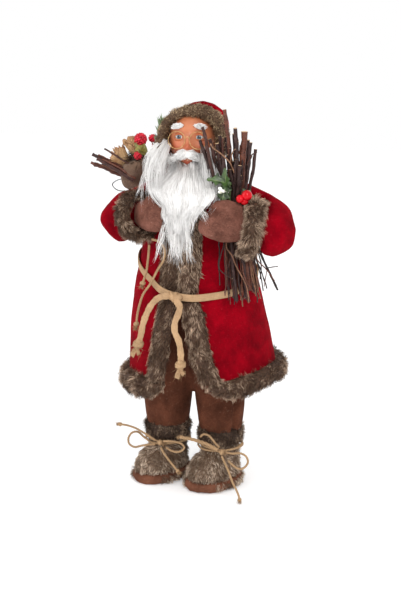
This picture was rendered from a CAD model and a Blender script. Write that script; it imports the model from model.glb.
import math

import bmesh
import bpy
import numpy as np
from mathutils import Matrix, Vector, kdtree, noise
from mathutils.bvhtree import BVHTree


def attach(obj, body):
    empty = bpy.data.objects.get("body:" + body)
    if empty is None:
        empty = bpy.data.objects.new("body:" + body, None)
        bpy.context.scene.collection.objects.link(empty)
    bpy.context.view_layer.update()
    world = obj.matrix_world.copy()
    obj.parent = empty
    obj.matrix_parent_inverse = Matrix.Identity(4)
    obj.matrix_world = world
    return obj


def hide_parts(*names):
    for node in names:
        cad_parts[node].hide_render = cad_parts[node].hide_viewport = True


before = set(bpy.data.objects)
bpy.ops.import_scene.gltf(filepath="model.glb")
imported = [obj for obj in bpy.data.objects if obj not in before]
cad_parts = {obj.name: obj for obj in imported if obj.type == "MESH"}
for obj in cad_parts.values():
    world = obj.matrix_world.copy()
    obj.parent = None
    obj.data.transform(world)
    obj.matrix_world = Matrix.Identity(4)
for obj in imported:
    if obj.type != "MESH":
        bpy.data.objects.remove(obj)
bpy.ops.object.select_all(action="DESELECT")
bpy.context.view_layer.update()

# The view of the figure: from a little to its own left and a little above, through a long lens
# that keeps the feet and the hood in proportion.
LOOK_AT = Vector((0.0065, -0.006, 0.225))
ASIDE = 0.00476
DISTANCE = 1.4
LENS, SENSOR = 70.44, 36
turn, rise = math.radians(20), math.radians(15)
towards = Vector((math.sin(turn) * math.cos(rise), -math.cos(turn) * math.cos(rise), math.sin(rise)))
rightwards = Vector((math.cos(turn), math.sin(turn), 0))
bpy.ops.object.camera_add(location=LOOK_AT + ASIDE * rightwards + DISTANCE * towards)
camera = bpy.context.object
camera.rotation_euler = towards.to_track_quat("Z", "Y").to_euler()
camera.data.lens = LENS
camera.data.sensor_width = SENSOR
camera.data.clip_end = 20
bpy.context.scene.camera = camera


# Free jute tape and twine: the ends of the belt, the cords of the sack and the bows of the boots.
# The tape is a flat braid. The twine is three plies laid together, hairy, and frayed where cut.
MOVE = np.array([6.5, -6.0, 0.0])
TWINE = 0.0032
TAPE_WIDE = 0.009
TAPE_THICK = 0.002
BELT_TAILS = {
    "belt_tail_right": [
        [-9.5, -78, 249], [-17, -79, 246], [-25, -79, 238], [-32, -79, 225], [-36.5, -79, 212],
        [-39, -79, 200], [-42, -80, 189],
    ],
    "belt_tail_centre": [
        [10, -80, 240], [8.5, -82, 231], [5, -84, 221], [6, -87, 211], [11.5, -89, 201],
        [14.5, -91, 187], [14.5, -92, 174],
    ],
}
SACK_CORDS = {
    "sack_cord_long": [
        [-30, -64, 310], [-20, -67, 308.5], [-13.5, -68, 301], [-14.3, -68, 289], [-22.5, -68, 275],
        [-31, -68, 259], [-40, -68, 246], [-45, -67, 233], [-48, -67, 221], [-49.5, -67, 209],
    ],
    "sack_cord_short": [
        [-36, -58, 302], [-36.8, -58, 293], [-37.8, -58, 284], [-39.5, -59, 271], [-43, -62, 257],
    ],
}
BOWS = {
    "boot_bow_right_outer": [
        [-41.5, -33, 48.5], [-50, -34, 47.5], [-60, -34, 44.5], [-69, -33, 41.3], [-77, -31, 44],
        [-78, -30, 51], [-73.5, -29, 58], [-65.8, -29, 60], [-58, -31, 56], [-51, -33, 53],
    ],
    "boot_tail_right_outer": [
        [-41, -35, 55], [-48, -36, 59.5], [-58, -35, 63.5], [-66, -32.5, 65.5], [-74, -30, 66.3],
        [-83, -28, 66.5], [-91, -26, 65.5],
    ],
    "boot_bow_right_inner": [
        [-30, -35, 55], [-21, -37, 57], [-12, -38, 57.5], [-5, -39, 56.5], [-1.2, -40, 53],
        [-4, -41, 48.5], [-10.5, -42, 46.5], [-18, -42, 47.5], [-24, -41, 50],
    ],
    "boot_tail_right_inner": [
        [-32, -38, 47.5], [-25, -45, 43.5], [-18, -49.5, 39], [-10, -53, 33], [-4, -55, 28],
    ],
    "boot_tail_left_inner": [
        [41, -41, 56], [36, -44, 60], [28, -46, 64], [18.5, -47, 66.5], [9, -47.5, 68],
        [-2, -47.5, 68.5],
    ],
    "boot_bow_left_inner": [
        [42, -37, 57.5], [38, -38, 62], [34, -39, 67.5], [29, -40, 72.5], [23, -41, 73],
        [20, -42, 69.5],
    ],
    "boot_bow_left_outer": [
        [51.5, -40, 54], [60.5, -41, 54], [68.5, -40, 55.2], [76, -39, 52], [79, -40, 45.5],
        [75.5, -42, 39], [70, -44, 37], [62, -45, 41], [56, -44.5, 46],
    ],
    "boot_tail_left_outer": [
        [48, -44, 50], [54, -50, 44], [60.5, -55, 36], [66, -58.5, 26], [71, -60, 18],
        [74.5, -60, 10], [75.5, -60, 5],
    ],
}


def paint(red, green, blue):
    """A colour as a paint chart gives it, from 0 to 255, for a shader."""
    parts = np.array([red, green, blue]) / 255
    linear = np.where(parts <= 0.04045, parts / 12.92, ((parts + 0.055) / 1.055) ** 2.4)
    return (*linear.tolist(), 1.0)


def add(tree, kind, inputs=None, **settings):
    """A node with its settings and its inputs: a socket is linked, and anything else is set."""
    node = tree.nodes.new(kind)
    for key, value in settings.items():
        setattr(node, key, value)
    for key, value in (inputs or {}).items():
        if isinstance(value, bpy.types.NodeSocket):
            tree.links.new(value, node.inputs[key])
        else:
            node.inputs[key].default_value = value
    return node


def ramp(tree, value, *stops):
    """A colour ramp through (place, colour) stops."""
    node = add(tree, "ShaderNodeValToRGB", {"Fac": value})
    marks = node.color_ramp.elements
    while len(marks) < len(stops):
        marks.new(0.5)
    for mark, (place, colour) in zip(marks, stops):
        mark.position = place
        mark.color = colour
    return node.outputs["Color"]


def blend(tree, kind, share, first, second):
    """Two colours mixed in one of the mix node's ways."""
    inputs = {"Factor": share, 6: first, 7: second}
    return add(tree, "ShaderNodeMix", inputs, data_type="RGBA", blend_type=kind).outputs[2]


def sums(tree, kind, first, second=0.0, clamp=False):
    """One step of arithmetic."""
    node = add(tree, "ShaderNodeMath", {0: first, 1: second}, operation=kind, use_clamp=clamp)
    return node.outputs[0]


def times(tree, first, second):
    return sums(tree, "MULTIPLY", first, second)


def plus(tree, first, second, clamp=False):
    return sums(tree, "ADD", first, second, clamp)


def vector_sums(tree, kind, inputs):
    """One step of arithmetic with vectors."""
    return add(tree, "ShaderNodeVectorMath", inputs, operation=kind).outputs


def between(tree, value, low, high, first=0.0, last=1.0):
    """A value that lies between two limits, brought to run between two others."""
    limits = {"Value": value, "From Min": low, "From Max": high, "To Min": first, "To Max": last}
    return add(tree, "ShaderNodeMapRange", limits).outputs[0]


def own_place(tree):
    """Where a point lies in the figure."""
    return add(tree, "ShaderNodeTexCoord").outputs["Object"]


def laid_on(tree):
    """Where a point lies round and along its own cord, leaf or sack."""
    return add(tree, "ShaderNodeUVMap", uv_map="lay").outputs["UV"]


def speckle(tree, where, scale, detail, roughness=0.5):
    """Smooth uneven values, most of them near one half."""
    inputs = {"Vector": where, "Scale": scale, "Detail": detail, "Roughness": roughness}
    return add(tree, "ShaderNodeTexNoise", inputs).outputs["Fac"]


def group(name, inputs, outputs):
    """An empty shader group: inputs and outputs are name, kind and, for an input, its value."""
    tree = bpy.data.node_groups.new(name, "ShaderNodeTree")
    for label, kind, value in inputs:
        tree.interface.new_socket(label, in_out="INPUT", socket_type=kind).default_value = value
    for label, kind in outputs:
        tree.interface.new_socket(label, in_out="OUTPUT", socket_type=kind)
    return tree, tree.nodes.new("NodeGroupInput").outputs, tree.nodes.new("NodeGroupOutput").inputs


def finish_of(name, roughness=0.9, constants=None):
    """A new material, its node tree and its shader, with the shader's plain values set."""
    made = bpy.data.materials.new(name)
    made.use_nodes = True
    shader = made.node_tree.nodes["Principled BSDF"]
    shader.inputs["Roughness"].default_value = roughness
    for key, value in (constants or {}).items():
        shader.inputs[key].default_value = value
    return made, made.node_tree, shader


def coloured(tree, shader, colour, height, strength, distance):
    """Gives a shader its colour and, from a height, its relief, if that has any strength."""
    tree.links.new(colour, shader.inputs["Base Color"])
    if strength:
        relief = {"Height": height, "Strength": strength, "Distance": distance}
        bump = add(tree, "ShaderNodeBump", relief)
        tree.links.new(bump.outputs["Normal"], shader.inputs["Normal"])


# Loose fibres and uneven dye, which every spun or felted finish on the figure shows
fibres, given, out = group(
    "fibres and dye",
    [("Colour", "NodeSocketColor", (0.5, 0.5, 0.5, 1)), ("Fibre size", "NodeSocketFloat", 900.0),
     ("Blotch size", "NodeSocketFloat", 45.0), ("Contrast", "NodeSocketFloat", 0.5)],
    [("Colour", "NodeSocketColor"), ("Height", "NodeSocketFloat")],
)
place = own_place(fibres)
warp = add(fibres, "ShaderNodeTexNoise", {"Vector": place, "Scale": 260.0, "Detail": 2.0})
drawn = vector_sums(fibres, "MULTIPLY", {0: warp.outputs["Color"], 1: (0.006, 0.006, 0.006)})[0]
bent = vector_sums(fibres, "ADD", {0: place, 1: drawn})[0]
hair_noise = speckle(fibres, bent, given["Fibre size"], 3.0, 0.7)
long_way = add(fibres, "ShaderNodeMapping",
               {"Vector": bent, "Scale": (1.0, 0.3, 3.2), "Rotation": (0.4, 0.9, 0.3)}).outputs[0]
long_noise = speckle(fibres, long_way, given["Fibre size"], 2.0)
blotch = speckle(fibres, place, given["Blotch size"], 3.0, 0.6)
threads = plus(fibres, times(fibres, hair_noise, 0.55), times(fibres, long_noise, 0.45))
lift = between(fibres, threads, 0.32, 0.68, -1.0, 1.0)
patch = between(fibres, blotch, 0.3, 0.7, -0.6, 0.6)
swing = times(fibres, plus(fibres, lift, patch), times(fibres, given["Contrast"], 0.5))
light = plus(fibres, swing, 1.0)
shaded = vector_sums(fibres, "SCALE", {0: given["Colour"], "Scale": light})[0]
fibres.links.new(shaded, out["Colour"])
fibres.links.new(lift, out["Height"])


def with_fibres(tree, colour, fibre, blotch_size, contrast):
    """The fibre group placed in a material: its colour and its height."""
    inputs = {"Colour": colour, "Fibre size": fibre, "Blotch size": blotch_size, "Contrast": contrast}
    node = add(tree, "ShaderNodeGroup", inputs, node_tree=fibres)
    return node.outputs["Colour"], node.outputs["Height"]


# Twine: hairy jute, darker in the grooves between its plies
twine_finish, tree, shader = finish_of("jute twine", 0.85, {"Specular IOR Level": 0.15})
stretched = add(tree, "ShaderNodeMapping", {"Vector": laid_on(tree), "Scale": (3.0, 60.0, 1.0)})
grain = speckle(tree, stretched.outputs[0], 6.0, 3.0)
straw = ramp(tree, grain, (0.25, paint(104, 78, 54)), (0.5, paint(164, 132, 98)),
             (0.75, paint(206, 178, 142)))
coloured(tree, shader, with_fibres(tree, straw, 1300.0, 90.0, 0.5)[0], grain, 0.6, 0.0003)

# Tape: the same jute woven flat, in fine slanting floats that meet in the middle
tape_finish, tree, shader = finish_of("jute tape", 0.88, {"Specular IOR Level": 0.15})
parts = add(tree, "ShaderNodeSeparateXYZ", {"Vector": laid_on(tree)}).outputs
halved = sums(tree, "FRACT", times(tree, parts[0], 2.0))
mirrored = sums(tree, "ABSOLUTE", sums(tree, "SUBTRACT", halved, 0.5))
slant = plus(tree, times(tree, parts[1], 1.7), times(tree, mirrored, 3.2))
float_wave = sums(tree, "SINE", times(tree, slant, 2 * math.pi))
pick_wave = sums(tree, "SINE", times(tree, parts[0], 44 * math.pi))
weave = plus(tree, times(tree, float_wave, 0.26), times(tree, pick_wave, 0.16))
weave = plus(tree, weave, 0.5, True)
straw = ramp(tree, weave, (0.05, paint(116, 88, 62)), (0.4, paint(164, 131, 98)),
             (0.9, paint(196, 164, 128)))
coloured(tree, shader, with_fibres(tree, straw, 1100.0, 80.0, 0.5)[0], weave, 0.35, 0.0004)


def in_figure(p):
    """Millimetres from the middle of the figure's own foot, as metres in the frame."""
    return (np.array(p) + MOVE) / 1000


def smooth_route(points, gap):
    """Points a set gap apart on the smooth curve through the given ones, in metres."""
    p = in_figure(points)
    p = np.vstack([2 * p[0] - p[1], p, 2 * p[-1] - p[-2]])
    share = np.linspace(0, 1, 24, endpoint=False)[:, None]
    dense = []
    for a, b, c, d in zip(p, p[1:], p[2:], p[3:]):
        before, here, after = (math.sqrt(math.dist(*pair)) for pair in ((a, b), (b, c), (c, d)))
        leave = ((b - a) / before - (c - a) / (before + here) + (c - b) / here) * here
        arrive = ((c - b) / here - (d - b) / (here + after) + (d - c) / after) * here
        cube, square = share**3, share**2
        dense.append((2 * cube - 3 * square + 1) * b + (cube - 2 * square + share) * leave
                     + (3 * square - 2 * cube) * c + (cube - square) * arrive)
    line = np.vstack([*dense, p[-2][None]])
    run = np.concatenate([[0], np.cumsum(np.linalg.norm(np.diff(line, axis=0), axis=1))])
    even = np.linspace(0, run[-1], max(3, round(run[-1] / gap) + 1))
    return np.column_stack([np.interp(even, run, line[:, k]) for k in range(3)])


def unit(vectors):
    """Vectors at length one."""
    return vectors / np.maximum(np.linalg.norm(vectors, axis=-1, keepdims=True), 1e-9)


def length_of(line):
    return float(np.linalg.norm(np.diff(line, axis=0), axis=1).sum())


def square_to(line, facing, closed=False):
    """At each point of a line, the direction across it and the one that stands up from it."""
    if closed:
        along = unit(np.roll(line, -1, axis=0) - np.roll(line, 1, axis=0))
    else:
        along = unit(np.gradient(line, axis=0))
    side = unit(np.cross(along, facing))
    return side, np.cross(along, side)


def carried(line):
    """As square_to, but turning as little as it can along the line, for a round cord."""
    along = unit(np.gradient(line, axis=0))
    side = unit(np.cross(along[0], [0.3, 0.5, 0.8]))
    sides = []
    for direction in along:
        side = unit(side - direction * np.dot(side, direction))
        sides.append(side)
    sides = np.array(sides)
    return sides, np.cross(along, sides)


def sweep(line, side, up, section, closed=False):
    """A tube along a line: section holds, for each point, its outline across and up. Each face
    comes with its place round and along the tube, for its pattern."""
    ring = line[:, None] + section[..., :1] * side[:, None] + section[..., 1:] * up[:, None]
    count, sides = ring.shape[:2]
    index = np.arange(count * sides).reshape(count, sides)
    after = np.roll(index, -1, axis=0) if closed else index[1:]
    before = index if closed else index[:-1]
    quads = np.stack([before, np.roll(before, -1, 1), np.roll(after, -1, 1), after], axis=-1)
    run, turn = np.meshgrid(np.arange(len(before)), np.arange(sides), indexing="ij")
    around = np.stack([turn, turn + 1, turn + 1, turn], -1) / sides
    along = np.stack([run, run, run + 1, run + 1], -1)
    lay = np.stack([around, along.astype(float)], axis=-1).reshape(-1, 2)
    faces = quads.reshape(-1, 4).tolist()
    if not closed:
        faces += [index[0][::-1].tolist(), index[-1].tolist()]
        lay = np.vstack([lay, np.zeros((2 * sides, 2))])
    return ring.reshape(-1, 3), faces, lay


def gathered(*bodies):
    """Several (points, faces, lay) bodies as one."""
    points, faces, lays, start = [], [], [], 0
    for body in bodies:
        points.append(body[0])
        faces += [[start + corner for corner in face] for face in body[1]]
        lays.append(body[2])
        start += len(body[0])
    return np.vstack(points), faces, np.vstack(lays)


def new_piece(name, points, faces, lay=None):
    """A mesh object at the origin with its place in its mesh."""
    mesh = bpy.data.meshes.new(name)
    mesh.from_pydata(points.tolist(), [], faces)
    if lay is not None:
        mesh.uv_layers.new(name="lay").data.foreach_set("uv", np.ravel(lay).astype(np.float32))
    made = bpy.data.objects.new(name, mesh)
    bpy.context.collection.objects.link(made)
    return made


def dressed(made, finish, slot, *nodes):
    """Gives a piece its finish, its slot and the parts of the frame that it stands for."""
    made.data.materials.clear()
    made.data.materials.append(finish)
    for polygon in made.data.polygons:
        polygon.use_smooth = True
    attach(made, "root")
    if nodes:
        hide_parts(*nodes)
    return made


def round_section(count, sides, radius):
    """The same round outline at every point, or one of its own radius at each."""
    angle = np.linspace(0, 2 * math.pi, sides, endpoint=False)
    outline = np.stack([np.cos(angle), np.sin(angle)], axis=-1)
    return outline[None] * np.broadcast_to(np.reshape(radius, (-1, 1, 1)), (count, 1, 1))


def tube(line, sides, radius):
    """A round cord, wire or stalk along a line."""
    return sweep(line, *carried(line), round_section(len(line), sides, radius))


def hairs(roots, directions, reach, thick, seed):
    """Short stray fibres, each a thin spike."""
    rng = np.random.default_rng(seed)
    count = len(roots)
    ways = unit(directions + rng.normal(0, 0.35, (count, 3)))
    side = unit(np.cross(ways, rng.normal(size=(count, 3))))
    up = np.cross(ways, side)
    tips = roots + ways * (reach * rng.uniform(0.5, 1.1, count))[:, None]
    corners = [roots + thick * (math.cos(a) * side + math.sin(a) * up) for a in (0, 2.094, 4.189)]
    points = np.stack([*corners, tips], axis=1).reshape(-1, 3)
    first = 4 * np.arange(count)[:, None]
    faces = np.concatenate([first + np.array(t) for t in ((2, 1, 0), (0, 1, 3), (1, 2, 3), (2, 0, 3))])
    return points, faces.tolist(), np.full((3 * len(faces), 2), 0.5)


def lay_twine(line, thick, seed, closed=False):
    """Three plies laid round each other along a line, with stray fibres."""
    run = np.linspace(0, length_of(line), len(line))
    side, up = carried(line)
    turns = 2 * math.pi * run / (3.4 * thick)
    if closed:
        turns = 2 * math.pi * round(turns[-1] / (2 * math.pi)) * run / run[-1]
    plies = []
    for ply in range(3):
        angle = turns + ply * 2 * math.pi / 3
        middle = line + 0.25 * thick * (np.cos(angle)[:, None] * side + np.sin(angle)[:, None] * up)
        plies.append(sweep(middle, side, up, round_section(len(line), 6, 0.27 * thick)))
    rng = np.random.default_rng(seed)
    chosen = rng.integers(0, len(line), int(run[-1] * 900))
    angle = rng.uniform(0, 2 * math.pi, len(chosen))
    out_ways = np.cos(angle)[:, None] * side[chosen] + np.sin(angle)[:, None] * up[chosen]
    along = np.gradient(line, axis=0)[chosen]
    roots = line[chosen] + 0.4 * thick * out_ways
    fuzz = hairs(roots, out_ways + 1.2 * unit(along), 0.0016, 0.00007, seed)
    return gathered(*plies, fuzz)


def flat_section(count, wide, thick, sides=14):
    """The outline of a flat braid, full in the middle and soft at its edges."""
    angle = np.linspace(0, 2 * math.pi, sides, endpoint=False)
    across = np.sign(np.cos(angle)) * np.abs(np.cos(angle)) ** 0.8
    outline = np.stack([across, np.sign(np.sin(angle)) * np.abs(np.sin(angle)) ** 0.6], axis=-1)
    halves = np.stack([np.broadcast_to(wide, count), np.broadcast_to(thick, count)], axis=-1) / 2
    return outline[None] * halves[:, None]


def lay_tape(line, facing, wide, thick, seed, closed=False):
    """Braided tape along a line, a little uneven in width, as worn tape is."""
    side, up = square_to(line, facing, closed)
    run = np.linspace(0, length_of(line), len(line))
    rng = np.random.default_rng(seed)
    phase = rng.uniform(0, 6, 2)
    uneven = 1 + 0.07 * np.sin(run * 420 + phase[0]) + 0.05 * np.sin(run * 1130 + phase[1])
    if closed:
        uneven = 1
    return sweep(line, side, up, flat_section(len(line), wide * uneven, thick), closed)


def overhand(at, along, size, thick, seed):
    """A pulled knot: turns of cord round its middle, the cut end frayed below it."""
    rng = np.random.default_rng(seed)
    axis = unit(np.array(along, dtype=float))
    side = unit(np.cross(axis, [0.2, 1.0, 0.1]))
    up = np.cross(axis, side)
    bodies = []
    for k, (lean, shift) in enumerate(((0.5, -0.22), (-0.45, 0.2), (0.15, 0.0))):
        angle = np.linspace(0, 2 * math.pi, 22, endpoint=False)
        reach = size - thick / 2
        ring = (at + reach * (np.cos(angle)[:, None] * side + np.sin(angle)[:, None] * up)
                + axis * (size * (shift + lean * 0.5 * np.sin(angle + k)))[:, None])
        ring_side, ring_up = square_to(ring, axis, True)
        bodies.append(sweep(ring, ring_side, ring_up, round_section(22, 7, thick / 2), True))
    core = smooth_route([p * 1000 - MOVE for p in (at - axis * size, at, at + axis * size)], 0.001)
    swell = 0.75 * size * np.sin(np.linspace(0.3, math.pi - 0.3, len(core)))
    bodies.append(tube(core, 10, swell))
    count = 46
    spread = rng.normal(0, 0.3, (count, 3))
    roots = at + axis * size * 0.7 + 0.3 * size * rng.normal(0, 1, (count, 3))
    bodies.append(hairs(roots, axis + spread, 2.1 * size, 0.0003, seed))
    return gathered(*bodies)


FACE_ON = np.array([0.25, -1.0, 0.1])
LOWEST = 0.0006


def corners_of(made):
    """The vertices of a piece as rows of x, y and z."""
    flat = np.empty(3 * len(made.data.vertices), dtype=np.float32)
    made.data.vertices.foreach_get("co", flat)
    return flat.reshape(-1, 3).astype(float)


def reshape(made, place):
    """Moves every vertex of a piece by a rule."""
    made.data.vertices.foreach_set("co", np.ravel(place(corners_of(made))).astype(np.float32))
    made.data.update()


def add_knot(name, line, size, thick, finish, seed, *more):
    """The knot in the end of a cord, as a piece of its own."""
    knot = new_piece(name, *gathered(overhand(line[-1], line[-1] - line[-6], size, thick, seed), *more))
    reshape(knot, lambda p: np.column_stack([p[:, :2], np.maximum(p[:, 2], LOWEST)]))
    return dressed(knot, finish, "jute")


def flared(line, wide, long, sway):
    """The cut end of a tape below its knot, opened out flat and a little twisted."""
    way = unit(line[-1] - line[-6])
    aside = unit(np.cross(way, FACE_ON)) * sway
    share = np.linspace(0, 1, 12)[:, None]
    end = line[-1] + way * 0.002 + long * (share * way + 0.3 * share * aside)
    end[:, 1] -= 0.0015 * np.sin(3 * share[:, 0])
    side, up = square_to(end, FACE_ON + 0.4 * aside)
    width = wide * (0.62 + 0.28 * share[:, 0])
    return sweep(end, side, up, flat_section(12, width, 0.0014))


for seed, (name, points) in enumerate(BELT_TAILS.items()):
    line = smooth_route(points, 0.001)
    tail = new_piece(name + "_tape", *lay_tape(line, FACE_ON, TAPE_WIDE * 0.8, TAPE_THICK * 0.8, seed))
    dressed(tail, tape_finish, "jute", name)
    cut_ends = flared(line, TAPE_WIDE * 0.8, 0.0135, 0.8), flared(line, TAPE_WIDE * 0.6, 0.009, -1.6)
    knot = add_knot(name + "_knot", line, 0.0064, 0.0042, twine_finish, seed, *cut_ends)

for seed, (name, points) in enumerate(SACK_CORDS.items()):
    line = smooth_route(points, 0.0008)
    hanging = new_piece(name + "_twine", *lay_twine(line, TWINE * 0.9, 10 + seed))
    dressed(hanging, twine_finish, "jute", name)
    knot = add_knot(name + "_knot", line, 0.0034, 0.0021, twine_finish, 10 + seed)

for seed, (name, points) in enumerate(BOWS.items()):
    line = smooth_route(points, 0.0008)
    thick = TWINE * (1.35 if name == "boot_tail_left_inner" else 0.84)
    tied = new_piece(name + "_twine", *lay_twine(line, thick, 20 + seed))
    dressed(tied, twine_finish, "jute", name)
    is_loop = name.startswith("boot_bow")
    ends = [] if is_loop else [add_knot(name + "_end", line, 0.0026, 0.0019, twine_finish, 20 + seed)]


# The coat: deep red felt, cut wide and open at the front of the skirt, sewn over a stuffed body.
# It falls in soft folds at the back, and its edges are bound in fur.
WAIST = 0.232
FELT_BOTTOM = 0.151
HIDDEN_BOTTOM = 0.139
UNDER_TRIM = 0.0035
NECK = 0.378
COAT = np.array([
    [120, 90.5, 86, 9.5], [150, 89.5, 84, 9.5], [200, 84, 74, 4.2], [246, 75.5, 60, 0.8],
    [290, 65, 52, 0], [320, 65, 48, 0], [345, 63, 44, 0], [362, 56, 38, 0], [372, 40, 32, 0],
    [378, 26, 24, 0],
]) / 1000
RIGHT_EDGE = np.array([[120, -13], [140, -8], [165, -1.5], [200, 1], [246, 0], [370, 1]]) / 1000
LEFT_EDGE = np.array([[120, 52], [138, 42], [160, 29], [186, 21], [216, 14], [246, 4], [370, 3]]) / 1000
CENTRE = MOVE / 1000


def along_table(table, column, z, ease=0.008):
    """A column of a table of heights, with the corners between its rows eased."""
    steps = np.linspace(-1, 1, 7)
    return sum(np.interp(z + step * ease, table[:, 0], table[:, column]) for step in steps) / len(steps)


def on_coat(angle, z, out=0.0):
    """Points on the coat at angles from its front and heights, some way out of the felt."""
    angle, z = np.broadcast_arrays(angle, z)
    ease = np.clip((NECK - z) / 2, 0.0001, 0.008)
    wide, deep, middle = (along_table(COAT, column, z, ease) for column in (1, 2, 3))
    flare = np.clip((WAIST - z) / (WAIST - FELT_BOTTOM), 0, 1)
    fold = 0.0025 * flare * np.cos(5 * angle) * (1 - np.cos(angle)) / 2 + out
    x = middle + (wide + fold) * np.sin(angle)
    y = -(deep + fold) * np.cos(angle)
    return np.stack([x, y, z], axis=-1) + CENTRE


def coat_angle(x, z):
    """The angle from the front at which the front of the coat has a sideways place."""
    return np.arcsin(np.clip((x - along_table(COAT, 3, z)) / along_table(COAT, 1, z), -1, 1))


def called(name):
    """The object made last, under its name."""
    made = bpy.context.object
    made.name = made.data.name = name
    return made


def grid_piece(name, columns, rows, place):
    """A grid whose two directions run from 0 to 1, put in its place."""
    bpy.ops.mesh.primitive_grid_add(x_subdivisions=columns, y_subdivisions=rows, size=1)
    made = called(name)
    reshape(made, lambda p: place(p[:, 0] + 0.5, p[:, 1] + 0.5))
    return made


def normals_of(made):
    flat = np.empty(3 * len(made.data.vertices), dtype=np.float32)
    made.data.vertices.foreach_get("normal", flat)
    return flat.reshape(-1, 3).astype(float)


def take_modifier(made, kind, **settings):
    """Adds a modifier and applies it."""
    bpy.context.view_layer.objects.active = made
    step = made.modifiers.new("step", kind)
    for key, value in settings.items():
        setattr(step, key, value)
    bpy.ops.object.modifier_apply(modifier="step")


def tidy_mesh(made, gap=0.00002):
    """Merges doubles and turns every face outwards."""
    work = bmesh.new()
    work.from_mesh(made.data)
    bmesh.ops.remove_doubles(work, verts=work.verts, dist=gap)
    bmesh.ops.recalc_face_normals(work, faces=work.faces)
    work.to_mesh(made.data)
    work.free()


def ripple(points, size, depth, seed, stretch=(1, 1, 1)):
    """Smooth uneven heights over points, from -depth to depth."""
    shift = Vector((seed * 3.1, seed * 1.7, seed * 5.3))
    scaled = points * np.array(stretch) / size
    return depth * np.array([noise.noise(Vector(p) + shift) for p in scaled])


# Wool felt: matted fibres, small lint, and nap that is worn paler on the folds
def felt_finish(name, colour, deep, contrast=0.5, pale=(225, 205, 195)):
    """A felt of one colour, deeper where the nap lies flat."""
    made, tree, shader = finish_of(name, 0.95, {
        "Specular IOR Level": 0.05, "Sheen Weight": 0.2, "Sheen Roughness": 0.6,
        "Sheen Tint": paint(*colour),
    })
    where = own_place(tree)
    drift = speckle(tree, where, 28.0, 4.0, 0.65)
    dyed = ramp(tree, drift, (0.32, paint(*deep)), (0.62, paint(*colour)))
    noisy = {"Vector": where, "Scale": 620.0, "Detail": 1.0, "Distortion": 1.5}
    lint = add(tree, "ShaderNodeTexNoise", noisy).outputs["Fac"]
    dyed = blend(tree, "MIX", between(tree, lint, 0.68, 0.74, 0.0, 0.3), dyed, paint(*pale))
    coloured(tree, shader, *with_fibres(tree, dyed, 850.0, 60.0, contrast), 0.35, 0.0005)
    return made


red_felt = felt_finish("red felt", (136, 1, 18), (92, 0, 10), 0.5, (176, 50, 62))
dark_felt = felt_finish("dark brown felt", (66, 38, 26), (44, 24, 16), 0.5, (120, 92, 74))


def coat_place(u, v):
    z = HIDDEN_BOTTOM + v * (NECK - HIDDEN_BOTTOM)
    closed = np.clip((z - 0.236) / 0.012, 0, 1)
    left = (along_table(LEFT_EDGE, 1, z) + 1.2 * UNDER_TRIM) * (1 - closed) + 0.002 * closed
    right = (along_table(RIGHT_EDGE, 1, z) - 2.2 * UNDER_TRIM) * (1 - closed) + 0.002 * closed
    first = coat_angle(left, z)
    last = coat_angle(right, z) + 2 * math.pi
    return on_coat(first + u * (last - first), z)


coat = grid_piece("coat_felt", 144, 68, coat_place)
tidy_mesh(coat)
take_modifier(coat, "SOLIDIFY", thickness=0.0038, offset=-1)
reshape(coat, lambda p: p + normals_of(coat) * (ripple(p, 0.03, 0.0011, 1, (1, 1, 0.45))
                                                 + ripple(p, 0.012, 0.0004, 2))[:, None])
dressed(coat, red_felt, "red_felt", "coat")

bpy.ops.mesh.primitive_uv_sphere_add(segments=64, ring_count=40, radius=1)
lining = called("coat_lining")


def lining_place(p):
    z = WAIST - 0.004 + (p[:, 2] + 1) / 2 * (0.366 - WAIST + 0.004)
    rim = on_coat(np.arctan2(p[:, 0], -p[:, 1]), z, -0.0042)
    core = np.column_stack([0 * z, 0 * z, z]) + CENTRE
    return core + (rim - core) * (np.hypot(p[:, 0], p[:, 1]) ** 0.3)[:, None]


reshape(lining, lining_place)
dressed(lining, dark_felt, "dark_felt")


# Fur bindings of the coat: a broad band round the hem and one down each front edge. It is a long
# brown pile on a woven backing, dark at the root and beige at the tip, and lies in tufts.
def soft_copy(node, name, voxel, rounds, swell=0.0):
    """The plain solid of a soft part, made again as one fine skin with its corners eased."""
    made = bpy.data.objects.new(name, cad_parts[node].data.copy())
    made.data.name = name
    bpy.context.collection.objects.link(made)
    work = bmesh.new()
    work.from_mesh(made.data)
    bmesh.ops.remove_doubles(work, verts=work.verts, dist=0.00001)
    work.to_mesh(made.data)
    work.free()
    take_modifier(made, "REMESH", mode="VOXEL", voxel_size=voxel)
    take_modifier(made, "SMOOTH", factor=0.5, iterations=rounds)
    if swell:
        reshape(made, lambda p: p + normals_of(made) * swell)
    return made


def scattered(made, count, rng, keep=None):
    """Places spread evenly over a skin, with the way that it faces there."""
    made.data.calc_loop_triangles()
    corners = np.empty(3 * len(made.data.loop_triangles), dtype=np.int32)
    made.data.loop_triangles.foreach_get("vertices", corners)
    a, b, c = corners_of(made)[corners.reshape(-1, 3)].transpose(1, 0, 2)
    facing = np.cross(b - a, c - a)
    area = np.linalg.norm(facing, axis=1)
    facing = unit(facing)
    if keep is not None:
        area = area * keep((a + b + c) / 3, facing)
    chosen = rng.choice(len(area), count, p=area / area.sum())
    s, t = rng.random((2, count, 1))
    s, t = np.where(s + t > 1, 1 - s, s), np.where(s + t > 1, 1 - t, t)
    return a[chosen] + s * (b - a)[chosen] + t * (c - a)[chosen], facing[chosen]


THREE_SIDES = (0.0, 2.0944, 4.1888)


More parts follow.
